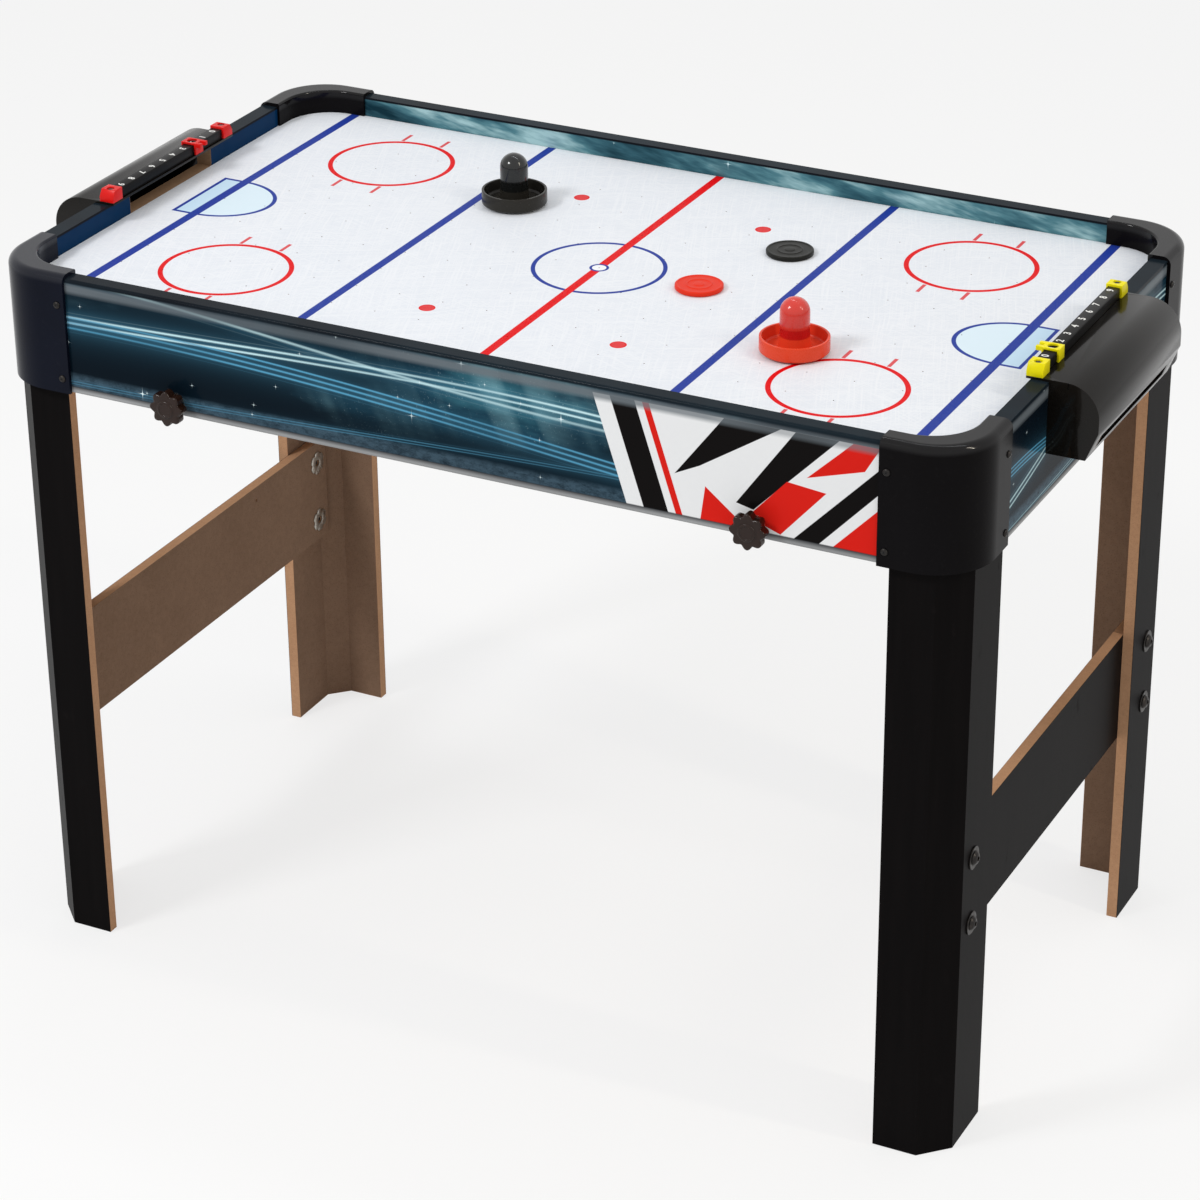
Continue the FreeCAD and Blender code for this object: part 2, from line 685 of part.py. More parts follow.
def leg_bolt_lines(sx, sy):
    """The two bolts that hold a leg to its corner block: axis, side and place."""
    return [
        ("y", sy, (f"{sx}*({leg_x} - legBoltIn)", f"{apron_low} + legBoltLow")),
        ("x", sx, (f"{sy}*({leg_y} - legBoltIn)", f"{apron_low} + legBoltHigh")),
    ]


def panel_bolt_spots(sy):
    """The two bolts at one end of a cross panel, as places in y and z."""
    middle = "panelRise + panelHeight/2"
    y = f"{sy}*({panel_end} - panelBoltIn)"
    return [(y, f"{middle} - panelBoltApart/2"), (y, f"{middle} + panelBoltApart/2")]


def corner_blocks():
    """Wooden blocks in the corners, which carry the aprons and take the leg bolts."""
    blocks = []
    for sx in sides.values():
        for sy in faces.values():
            body = start_body()
            notch = "legCut - legBoard*(2 - sqrt(2)) + fitGap"

            def spot(u, v, sx=sx, sy=sy):
                return (f"{sx}*({rim_x} - ({u}))", f"{sy}*({rim_y} - ({v}))")

            plan = [spot(notch, "0"), spot("blockLength", "0"), spot("blockLength", "blockNose"),
                    spot("blockNose", "blockLength"), spot("0", "blockLength"), spot("0", notch)]
            pad(body, "XY_Plane", plan, f"{apron_low} + fitGap", tongue_top)
            bores = []
            for axis, sign, across in leg_bolt_lines(sx, sy):
                face = leg_y if axis == "y" else leg_x
                span = ends(sign, f"{face} - {bolt_grip}", face)
                bores.append(rod(axis, "boltSize/2", span, across))
            blocks.append(cut(body, bores))
    return node(gather(blocks), "corner_blocks")


def machine_bolt(axis, sign, seat, tip, across):
    """A domed bolt whose head lies on seat, sign times out along the axis."""
    shank = rod(axis, "boltSize/2", ends(sign, tip, seat), across)
    low, high = ends(sign, seat, f"{seat} + boltHeadHigh")
    radii = ("boltHead/2", "boltHead/3") if sign > 0 else ("boltHead/3", "boltHead/2")
    return fuse([shank, rod(axis, radii[0], (low, high), across, radii[1])])


def leg_bolts():
    bolts = []
    for sx in sides.values():
        for sy in faces.values():
            for axis, sign, across in leg_bolt_lines(sx, sy):
                face = leg_y if axis == "y" else leg_x
                bolts.append(machine_bolt(axis, sign, face, f"{face} - {bolt_grip}", across))
    return node(gather(bolts), "leg_bolts")


def cross_panel(side, sign):
    """The board between the two legs at one end."""
    body = start_body()
    low, high = ends(sign, f"{leg_x} - legBoard - panelThick", f"{leg_x} - legBoard")
    deep = (f"-({panel_end})", panel_end)
    pad(body, "YZ_Plane", rectangle(deep, ("panelRise", "panelRise + panelHeight")), low, high)
    bores = []
    inner = f"{leg_x} - legBoard - panelThick"
    for end in faces.values():
        for spot in panel_bolt_spots(end):
            bores.append(rod("x", "boltSize/2", (low, high), spot))
            span = ends(sign, inner, f"{inner} + nutDeep")
            bores.append(rod("x", "nutBarrel/2", span, spot))
    bores.append(rod("x", "pilotSize/2", ends(sign, inner, f"{inner} + pilotDeep"),
                     ("pilotPlace", "panelRise + panelHeight - pilotDown")))
    return node(cut(body, bores), f"cross_panel_{side}")


def panel_fasteners():
    """Bolts, washers and T-nuts of the cross panels."""
    bolts = []
    washers = []
    nuts = []
    inner = f"{leg_x} - legBoard - panelThick"
    for sign in sides.values():
        for end in faces.values():
            for spot in panel_bolt_spots(end):
                seat = f"{leg_x} + washerThick"
                bolts.append(machine_bolt("x", sign, seat, f"{inner} + boltShort", spot))
                span = ends(sign, leg_x, seat)
                washers.append(cut(rod("x", "washerSize/2", span, spot),
                                   [rod("x", "boltSize/2", span, spot)]))
                flange = rod("x", "nutFlange/2", ends(sign, f"{inner} - nutPlate", inner), spot)
                reach = ends(sign, inner, f"{inner} + nutDeep")
                barrel = rod("x", "nutBarrel/2", reach, spot)
                whole = ends(sign, f"{inner} - nutPlate", f"{inner} + nutDeep")
                nuts.append(cut(fuse([flange, barrel]), [rod("x", "boltSize/2", whole, spot)]))
    node(gather(bolts), "panel_bolts")
    node(gather(washers), "panel_washers")
    node(gather(nuts), "panel_t_nuts")


def goal_hood(side, sign):
    """The moulded goal box: a shelf, a rounded hood, two cheeks and a puck tray."""
    def spot(x, z, *radius):
        return (f"{sign}*({x})", z) + radius

    body = start_body()
    half = "hoodLength/2"
    out = "length/2 + hoodDepth"
    shell = [spot("length/2", "rimHeight - hoodHeight"),
             spot("length/2 + trayDepth", "rimHeight - hoodHeight"),
             spot(out, "rimHeight - hoodLip"),
             spot(out, shelf_top, "hoodRound"),
             spot(f"{rim_x} - hoodLap", shelf_top),
             spot(f"{rim_x} - hoodLap", "rimHeight"),
             spot("length/2", "rimHeight")]
    pad(body, "XZ_Plane", shell, f"-{half}", half)
    hollow = [spot("length/2", "rimHeight - hoodHeight + skin"),
              spot("length/2 + trayDepth - skin", "rimHeight - hoodHeight + skin"),
              spot(f"{out} - skin", "rimHeight - hoodLip"),
              spot(f"{out} - skin", "rimHeight", "hoodRound - skin"),
              spot("length/2", "rimHeight")]
    pocket(body, "XZ_Plane", hollow, f"-({half} - skin)", f"{half} - skin")
    tray_edge = "rimHeight - hoodHeight + trayLip"
    window = box(ends(sign, "length/2 + trayDepth/2", f"{out} + skin"),
                 (f"-({half} - windowMargin)", f"{half} - windowMargin"),
                 (tray_edge, f"{tray_edge} + windowHigh"))
    bores = [window]
    for end in faces.values():
        bores.append(rod("z", "screwSize/2", ("rimHeight", shelf_top), clip_middle(sign, end)))
    return node(cut(body, bores), f"goal_hood_{side}")


def score_counter(side, sign):
    """The numbered bar with its two end clips, screws and slider."""
    across = ends(sign, bar_in, f"{bar_in} + barWidth")
    inside = "hoodLength/2 - clipLength"
    bar = box(across, (f"-({inside})", inside), (shelf_top, f"{shelf_top} + barHigh"))
    node(bar, f"score_bar_{side}")
    clips = []
    screws = []
    for end in faces.values():
        body = start_body()
        wide = ends(sign, f"{bar_in} - clipOver", f"{bar_in} + barWidth + clipOver")
        crown = f"{shelf_top} + barHigh + clipOver"
        slope = "hoodLength/2 - clipLength/4"
        outline = [(f"{end}*({inside})", shelf_top), (f"{end}*hoodLength/2", shelf_top),
                   (f"{end}*hoodLength/2", f"{shelf_top} + barHigh/2"),
                   (f"{end}*({slope})", crown), (f"{end}*({inside})", crown)]
        pad(body, "YZ_Plane", outline, wide[0], wide[1])
        middle = clip_middle(sign, end)
        seat = f"{crown} - screwHeadHigh - clipSink"
        clips.append(cut(body, [rod("z", "screwSize/2", (shelf_top, crown), middle),
                                rod("z", "screwHead/2 + slideGap", (seat, crown), middle)]))
        screws.append(wood_screw("z", 1, seat, "rimHeight - clipScrewLong", middle))
    node(gather(clips), f"score_clips_{side}")
    return screws


def score_slider(side, sign, digit):
    """The slider that frames one number; digit is the number that it stands at."""
    pitch = f"(hoodLength - 2*clipLength)/{len(digits)}"
    y = f"{sign}*({digit} - {sum(digits)/len(digits)})*{pitch}"
    low = f"{y} - sliderLength/2"
    high = f"{y} + sliderLength/2"
    inner = f"{bar_in} - slideGap"
    outer = f"{bar_in} + barWidth + slideGap"
    top = f"{shelf_top} + barHigh + slideGap"
    foot = f"{shelf_top} + slideGap"
    block = box(ends(sign, f"{inner} - sliderWall", f"{outer} + sliderWall"),
                (low, high), (foot, f"{top} + sliderWall"))
    tunnel = box(ends(sign, inner, outer), (low, high), (foot, top))
    frame = rod("z", "barWidth/2 - sliderWall/2", (top, f"{top} + sliderWall"),
                (f"{sign}*({bar_in} + barWidth/2)", y))
    prongs = []
    for end in faces.values():
        reach = ends(sign, f"{inner} - sliderWall - prongLong", f"{inner} - sliderWall")
        side_low = f"{y} + {end}*sliderLength/3 - sliderWall"
        side_high = f"{y} + {end}*sliderLength/3 + sliderWall"
        prongs.append(box(reach, (side_low, side_high), (f"{top} - sliderWall", f"{top} + sliderWall")))
    return node(cut(fuse([block] + prongs), [tunnel, frame]), f"score_slider_{side}")


def pusher(side, x, y):
    """A pusher: a rimmed dish with a round knob, on a glide pad."""
    floor = "padThick"
    dish = "padThick + pusherWall"
    radius = "pusherSize/2"
    outline = [("0", floor), (f"{radius} - pusherFoot", floor), (radius, f"{floor} + pusherFoot"),
               (radius, "pusherRim"), (f"{radius} - pusherWall", "pusherRim"),
               (f"{radius} - pusherWall - pusherDraft", dish), ("neckSize/2 + neckFlare", dish),
               ("neckSize/2", f"{dish} + neckRise"), ("neckSize/2", "gripLow"),
               ("gripSize/2", "gripLow + gripTaper"), ("gripSize/2", "pusherHigh", "gripSize/2"),
               ("0", "pusherHigh")]
    node(place(turned(outline), x, y, f"{field_top} + airFilm"), f"pusher_{side}")
    felt = turned([("0", "0"), ("padSize/2", "0"), ("padSize/2", "padThick"), ("0", "padThick")])
    node(place(felt, x, y, f"{field_top} + airFilm"), f"pusher_pad_{side}")


def puck(colour, x, y):
    """A flat disc with chamfered edges and a shallow ring on its top."""
    radius = "puckSize/2"
    sunk = "puckThick - grooveDeep"
    outline = [("0", "0"), (f"{radius} - puckEdge", "0"), (radius, "puckEdge"),
               (radius, "puckThick - puckEdge"), (f"{radius} - puckEdge", "puckThick"),
               ("grooveOut/2", "puckThick"), ("grooveOut/2 - grooveSlope", sunk),
               ("grooveIn/2 + grooveSlope", sunk), ("grooveIn/2", "puckThick"),
               ("0", "puckThick")]
    node(place(turned(outline), x, y, f"{field_top} + airFilm"), f"puck_{colour}")


def star_knob(face, side):
    """A star knob with its steel stud, which screws into the cross bearer."""
    sx, sy = sides[side], faces[face]
    body = start_body()
    head_low = "knobNeck"
    head_high = "knobNeck + knobThick"
    flip = FreeCAD.Rotation(FreeCAD.Vector(0, 0, 1), 180 if sy > 0 else 0)

    def disc(radius, low, high):
        return pad(body, "XZ_Plane", ["round", ("0", "0", radius)], f"-({high})", f"-({low})")

    disc("knobNeckSize/2", "0", head_low)
    disc("knobSize/2 - lobeSize/2", head_low, head_high)
    lobe = pad(body, "XZ_Plane", ["round", ("knobSize/2 - lobeSize/2", "0", "lobeSize/2")],
               f"-({head_high})", f"-({head_low})")
    star = body.newObject("PartDesign::PolarPattern", fresh("Lobes"))
    star.Originals = [lobe]
    star.Axis = (lobe.Profile[0], ["N_Axis"])
    star.Angle = 360
    star.Occurrences = 8
    settle(body, star)
    disc("knobNeckSize/2", head_high, f"{head_high} + knobFace")
    seat = "width/2 + washerThick + slideGap"
    place(body, f"{sx}*{knob_x}", f"{sy}*({seat})", knob_z, flip)
    node(body, f"star_knob_{face}_{side}")
    tip = f"{rim_y} - studGrip"
    stud = rod("y", "boltSize/2", ends(sy, tip, seat), (f"{sx}*{knob_x}", knob_z))
    node(stud, f"knob_stud_{face}_{side}")


def bearers():
    """Cross bearers under the air space, with threaded inserts and knob washers."""
    boards = []
    inserts = []
    washers = []
    for sx in sides.values():
        x = f"{sx}*{knob_x}"
        board = box((f"{x} - bearerThick/2", f"{x} + bearerThick/2"),
                    (f"-({rim_y})", rim_y), (f"{apron_low} + bearerRise", floor_low))
        bores = []
        for sy in faces.values():
            deep = ends(sy, f"{rim_y} - insertDeep", rim_y)
            bores.append(rod("y", "insertSize/2", deep, (x, knob_z)))
            bore = rod("y", "boltSize/2 + studFit", deep, (x, knob_z))
            inserts.append(cut(rod("y", "insertSize/2", deep, (x, knob_z)), [bore]))
            plate = ends(sy, "width/2", "width/2 + washerThick")
            washers.append(cut(rod("y", "knobWasher/2", plate, (x, knob_z)),
                               [rod("y", "boltSize/2 + slideGap", plate, (x, knob_z))]))
        boards.append(cut(board, bores))
    node(gather(boards), "cross_bearers")
    node(gather(inserts), "bearer_inserts")
    node(gather(washers), "knob_washers")


def plenum():
    """Battens, ribs and the floor of the air space."""
    levels = (plenum_low, field_low)
    battens = []
    ribs = []
    for sign in faces.values():
        deep = ends(sign, f"{rim_y} - battenWidth", rim_y)
        battens.append(box((f"-({rim_x})", rim_x), deep, levels))
    for sign in sides.values():
        across = ends(sign, f"{rim_x} - battenWidth", rim_x)
        battens.append(box(across, (f"-({rim_y} - battenWidth)", f"{rim_y} - battenWidth"), levels))
        x = f"{sign}*ribPlace"
        reach = f"{rim_y} - battenWidth - ribGap"
        ribs.append(box((f"{x} - battenWidth/2", f"{x} + battenWidth/2"),
                        (f"-({reach})", reach), levels))
    node(gather(battens), "plenum_battens")
    node(gather(ribs), "plenum_ribs")
    board = box((f"-({rim_x} - fitGap)", f"{rim_x} - fitGap"),
                (f"-({rim_y} - fitGap)", f"{rim_y} - fitGap"), (floor_low, plenum_low))
    bores = [rod("z", "ductSize/2", (floor_low, plenum_low), ("0", "fanPlace"))]
    for x, y in fan_screw_spots():
        bores.append(rod("z", "screwSize/2", (floor_low, plenum_low), (x, y)))
    node(cut(board, bores), "plenum_floor")


def fan_screw_spots():
    reach = "fanSide/2 - fanScrewIn"
    return [(f"{sx}*({reach})", f"fanPlace + {sy}*({reach})")
            for sx in sides.values() for sy in faces.values()]


def fan():
    """The axial fan that fills the air space, with its guard and screws."""
    low = f"{floor_low} - fanDeep"
    here = ("0", "fanPlace")
    across = ("-fanSide/2", "fanSide/2")
    deep = ("fanPlace - fanSide/2", "fanPlace + fanSide/2")
    frame = cut(box(across, deep, (low, floor_low)), [rod("z", "ductSize/2", (low, floor_low), here)])
    struts = []
    for index in range(3):
        turn = FreeCAD.Rotation(FreeCAD.Vector(0, 0, 1), 90 + index * 120)
        strut = doc.addObject("Part::Box", fresh("Strut"))
        bind(strut, "Length", "ductSize/2 + strutRoot")
        bind(strut, "Width", "strutWidth")
        bind(strut, "Height", "strutThick")
        direction = turn.multVec(FreeCAD.Vector(0, -0.5, 0))
        place(strut, f"{direction.x:.6f}*strutWidth", f"fanPlace + {direction.y:.6f}*strutWidth",
              low, turn)
        struts.append(strut)
    seat = rod("z", "motorSize/2 + motorSeat", (low, f"{low} + strutThick"), here)
    screws = [rod("z", "screwSize/2", (low, floor_low), spot) for spot in fan_screw_spots()]
    node(cut(fuse([frame, seat] + struts), screws), "fan_frame")
    motor_low = f"{low} + strutThick"
    motor_top = f"{motor_low} + motorHigh"
    shaft_top = f"{motor_top} + shaftOut"
    motor = fuse([rod("z", "motorSize/2", (motor_low, motor_top), here),
                  rod("z", "shaftSize/2", (motor_top, shaft_top), here)])
    node(motor, "fan_motor")
    impeller(motor_low, motor_top, here)
    guard_low = f"{low} - guardThick"
    plate = box(across, deep, (guard_low, low))
    rings = []
    for index in range(3):
        inner = f"motorSize/2 + motorSeat + {index}*guardStep"
        ring = cut(rod("z", f"{inner} + guardSlot", (guard_low, low), here),
                   [rod("z", inner, (guard_low, low), here)])
        rings.append(ring)
    spokes = [box(across, ("fanPlace - guardSpoke/2", "fanPlace + guardSpoke/2"), (guard_low, low)),
              box(("-guardSpoke/2", "guardSpoke/2"), deep, (guard_low, low))]
    slots = [cut(ring, spokes) for ring in rings]
    bores = [rod("z", "screwSize/2", (guard_low, low), spot) for spot in fan_screw_spots()]
    node(cut(plate, slots + bores), "fan_guard")
    fasteners = []
    for spot in fan_screw_spots():
        fasteners.append(wood_screw_up(guard_low, f"{plenum_low} + fanScrewOut", spot))
        nut = doc.addObject("Part::Prism", fresh("Nut"))
        nut.Polygon = 6
        bind(nut, "Circumradius", "screwSize")
        bind(nut, "Height", "fanNut")
        place(nut, spot[0], spot[1], plenum_low)
        fasteners.append(cut(nut, [rod("z", "screwSize/2", (plenum_low, f"{plenum_low} + fanNut"), spot)]))
    node(gather(fasteners), "fan_screws")


def wood_screw_up(seat, tip, spot):
    """A screw with its head below seat and its tip above."""
    shank = rod("z", "screwSize/2", (seat, tip), spot)
    head = rod("z", "screwHead/3", (f"{seat} - screwHeadHigh", seat), spot, "screwHead/2")
    return fuse([shank, head])


def impeller(motor_low, motor_top, here):
    """Hub and pitched blades."""
    hub_low = f"{motor_low} + hubGap"
    hub_top = f"{motor_top} + hubCrown"
    hub = rod("z", "hubSize/2", (hub_low, hub_top), here)
    blades = []
    number = 7
    for index in range(number):
        around = FreeCAD.Rotation(FreeCAD.Vector(0, 0, 1), index * 360 / number)
        tilt = FreeCAD.Rotation(FreeCAD.Vector(1, 0, 0), size("bladePitch"))
        turn = around.multiply(tilt)
        blade = doc.addObject("Part::Box", fresh("Blade"))
        bind(blade, "Length", "ductSize/2 - bladeGap - hubSize/2 + bladeRoot")
        bind(blade, "Width", "hubSize/2")
        bind(blade, "Height", "bladeThick")
        along = around.multVec(FreeCAD.Vector(1, 0, 0))
        back = turn.multVec(FreeCAD.Vector(0, -0.5, 0))
        place(blade, f"{along.x:.6f}*(hubSize/2 - bladeRoot) + {back.x:.6f}*hubSize/2",
              f"fanPlace + {along.y:.6f}*(hubSize/2 - bladeRoot) + {back.y:.6f}*hubSize/2",
              f"({hub_low} + {hub_top})/2 + {back.z:.6f}*hubSize/2", turn)
        blades.append(blade)
    cavity = rod("z", "motorSize/2 + motorGap", (hub_low, f"{motor_top} + motorGap"), here)
    bore = rod("z", "shaftSize/2 + shaftFit", (hub_low, hub_top), here)
    return node(cut(fuse([hub] + blades), [cavity, bore]), "fan_impeller")


def power():
    """The rocker switch, the low-voltage inlet and the leads between them and the fan."""
    x = "switchPlace"
    face = "width/2 + bezelThick"
    back = f"{rim_y} - switchBack"
    well_back = "width/2 - wellDeep"
    axis_y = "width/2 - rockerSink"
    bezel = box((f"{x} - switchWide/2", f"{x} + switchWide/2"), ("width/2", face),
                (f"{power_z} - switchLong/2", f"{power_z} + switchLong/2"))
    barrel = box((f"{x} - {switch_neck[0]}", f"{x} + {switch_neck[0]}"), (back, "width/2"),
                 (f"{power_z} - {switch_neck[1]}", f"{power_z} + {switch_neck[1]}"))
    inside = "(rockerWide/2 + slideGap)"
    well = box((f"{x} - {inside}", f"{x} + {inside}"), (well_back, face),
               (f"{power_z} - rockerReach - fitGap", f"{power_z} + rockerReach + fitGap"))
    pin_end = "(rockerWide/2 + pinLong)"
    bore = rod("x", "pinSize/2 + shaftFit", (f"{x} - {pin_end} - shaftFit", f"{x} + {pin_end} + shaftFit"),
               (axis_y, power_z))
    node(cut(fuse([bezel, barrel]), [well, bore]), "switch_bezel")
    rocker = start_body()
    outline = [("-rockerBack", "-rockerBack"), ("rockerOut", "-rockerHigh"), ("rockerDip", "0"),
               ("rockerOut", "rockerHigh"), ("-rockerBack", "rockerBack")]
    pad(rocker, "YZ_Plane", outline, "-rockerWide/2", "rockerWide/2")
    pad(rocker, "YZ_Plane", ["round", ("0", "0", "pinSize/2")], f"-{pin_end}", pin_end)
    tilt = FreeCAD.Rotation(FreeCAD.Vector(1, 0, 0), -size("rockerTilt"))
    node(place(rocker, x, axis_y, power_z, tilt), "switch_rocker")
    spot = ("-switchPlace", power_z)
    flange = rod("y", "jackSize/2 + bezelThick", ("width/2", face), spot)
    sleeve = rod("y", "jackSize/2", (back, "width/2"), spot)
    socket = rod("y", "jackBore/2", (well_back, face), spot)
    contact = rod("y", "pinSize/2", (well_back, "width/2"), spot)
    node(fuse([cut(fuse([flange, sleeve]), [socket]), contact]), "power_inlet")


def tube(route, diameter):
    """A round lead along straight runs with tangent arcs, its wire and its section."""
    edges = []
    runs = [route[i + 1] - route[i] for i in range(len(route) - 1)]
    start = route[0]
    for index in range(1, len(route) - 1):
        before, after = runs[index - 1], runs[index]
        turn = before.getAngle(after)
        radius = 0.45 * min(before.Length, after.Length) / math.tan(turn / 2)
        back = radius * math.tan(turn / 2)
        into = FreeCAD.Vector(before).normalize()
        away = FreeCAD.Vector(after).normalize()
        first = route[index] - into * back
        last = route[index] + away * back
        inward = (away - into).normalize()
        middle = route[index] + inward * radius * (1 / math.cos(turn / 2) - 1)
        edges.append(Part.LineSegment(start, first).toShape())
        edges.append(Part.Arc(first, middle, last).toShape())
        start = last
    edges.append(Part.LineSegment(start, route[-1]).toShape())
    path = Part.Wire(edges)
    ring = Part.Circle(route[0], runs[0], diameter / 2).toShape()
    return path.makePipeShell([Part.Wire([ring])], True, False)


def leads():
    """The lead from the switch to the fan and the short wire from the inlet."""
    thick = size("leadSize")
    back = size(f"{rim_y} - switchBack")
    level = size(power_z)
    high = size(lead_z)
    fan_back = size("fanPlace + fanSide/2")
    x = size("switchPlace")
    run = back - fan_back
    route = [FreeCAD.Vector(x, fan_back, high), FreeCAD.Vector(x, fan_back + run / 3, high),
             FreeCAD.Vector(x, fan_back + run * 2 / 3, level), FreeCAD.Vector(x, back, level)]
    reach = size("jumperReach")
    beside = x - thick
    jumper = [FreeCAD.Vector(-x, back, level), FreeCAD.Vector(-x, back - reach, level),
              FreeCAD.Vector(0, back - 2 * reach, level), FreeCAD.Vector(beside, back - reach, level),
              FreeCAD.Vector(beside, back, level)]
    thing = doc.addObject("Part::Feature", "Leads")
    thing.Shape = Part.makeCompound([tube(route, thick), tube(jumper, thick / 2)])
    node(thing, "fan_leads")
    middle = "fanPlace + fanSide/2 + leadClipIn"
    span = (f"{middle} - leadClip/2", f"{middle} + leadClip/2")
    saddle = box(("switchPlace - leadSize", "switchPlace + leadSize"), span,
                 (f"{lead_z} - leadSize/2 - leadClipWall", floor_low))
    hole = rod("y", "leadSize/2", span, ("switchPlace", lead_z))
    node(cut(saddle, [hole]), "lead_clip")


def build():
    playfield()
    for face, sign in faces.items():
        long_apron(face, sign)
    for side, sign in sides.items():
        end_apron(side, sign)
    for face, sy in faces.items():
        for side, sx in sides.items():
            corner_cap(f"corner_cap_{face}_{side}", sx, sy)
            leg(f"leg_{face}_{side}", sx, sy)
            star_knob(face, side)
    cap_screws()
    corner_blocks()
    leg_bolts()
    panel_fasteners()
    screws = []
    for side, sign in sides.items():
        cross_panel(side, sign)
        goal_hood(side, sign)
        screws += score_counter(side, sign)
    node(gather(screws), "clip_screws")
    score_slider("left", -1, 2)
    score_slider("right", 1, 1)
    pusher("left", "blackPusherX", "blackPusherY")
    pusher("right", "redPusherX", "redPusherY")
    puck("black", "blackPuckX", "blackPuckY")
    puck("red", "redPuckX", "redPuckY")
    bearers()
    plenum()
    fan()
    power()
    leads()


build()
doc.recompute()

failed = [thing.Name for thing in doc.Objects if {"Invalid", "Error"} & set(thing.State)]
for part in nodes:
    if part.Shape.isNull() or not part.Shape.isValid():
        failed.append(part.Label)
if failed:
    raise RuntimeError("not sound: " + ", ".join(failed))

for part in nodes:
    part.Shape.exportStep(f"parts/{part.Label}.step")
    print(f"{part.Label}: {len(part.Shape.Solids)} solid(s), {part.Shape.Volume / 1000:.2f} cm3")
print(len(nodes), "nodes")
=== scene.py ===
import bpy, bmesh, math
from mathutils import Matrix, Vector


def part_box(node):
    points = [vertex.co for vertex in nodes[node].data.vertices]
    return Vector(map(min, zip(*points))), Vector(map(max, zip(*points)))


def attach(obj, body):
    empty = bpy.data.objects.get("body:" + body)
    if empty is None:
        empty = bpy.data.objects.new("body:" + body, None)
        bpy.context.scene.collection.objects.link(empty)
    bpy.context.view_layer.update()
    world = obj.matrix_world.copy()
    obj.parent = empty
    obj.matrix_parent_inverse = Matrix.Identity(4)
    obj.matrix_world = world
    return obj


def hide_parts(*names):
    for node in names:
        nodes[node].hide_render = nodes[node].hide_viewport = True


# Air hockey table: metres, +X to the right-hand goal, -Y to the front, +Z up
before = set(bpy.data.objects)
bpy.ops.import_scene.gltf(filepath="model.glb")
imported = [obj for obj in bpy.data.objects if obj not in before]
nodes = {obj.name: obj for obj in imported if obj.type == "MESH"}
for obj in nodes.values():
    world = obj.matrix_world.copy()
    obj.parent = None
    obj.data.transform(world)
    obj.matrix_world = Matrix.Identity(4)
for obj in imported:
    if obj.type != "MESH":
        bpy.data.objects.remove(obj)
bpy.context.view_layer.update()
scene = bpy.context.scene
print("frame loaded:", len(nodes), "nodes")

mm = 0.001
sides = {"left": -1, "right": 1}
faces = {"front": -1, "back": 1}


# Node maths
class Tone:
    # one output socket, so that sums over a surface are written as plain sums
    def __init__(self, paint, socket):
        self.paint = paint
        self.socket = socket

    def maths(self, operation, *others):
        values = dict(enumerate((self, *others)))
        return self.paint.node("ShaderNodeMath", {"operation": operation}, values)

    def __add__(self, other):
        return self.maths("ADD", other)

    def __sub__(self, other):
        return self.maths("SUBTRACT", other)

    def __rsub__(self, other):
        return self * -1 + other

    def __mul__(self, other):
        return self.maths("MULTIPLY", other)

    def __truediv__(self, other):
        return self.maths("DIVIDE", other)

    def __rtruediv__(self, other):
        return self ** -1 * other

    def __pow__(self, other):
        return self.maths("POWER", other)

    def __abs__(self):
        return self.maths("ABSOLUTE")

    __radd__ = __add__
    __rmul__ = __mul__

    def sine(self):
        return self.maths("SINE")

    def least(self, *others):
        lowest = self
        for other in others:
            lowest = lowest.maths("MINIMUM", other)
        return lowest

    def most(self, *others):
        highest = self
        for other in others:
            highest = highest.maths("MAXIMUM", other)
        return highest

    def clamped(self):
        return self.paint.node("ShaderNodeClamp", {}, {0: self})

    # 1 where the value is above zero, 0 below, over a soft edge
    def edge(self, soft):
        return (self / soft + 0.5).clamped()


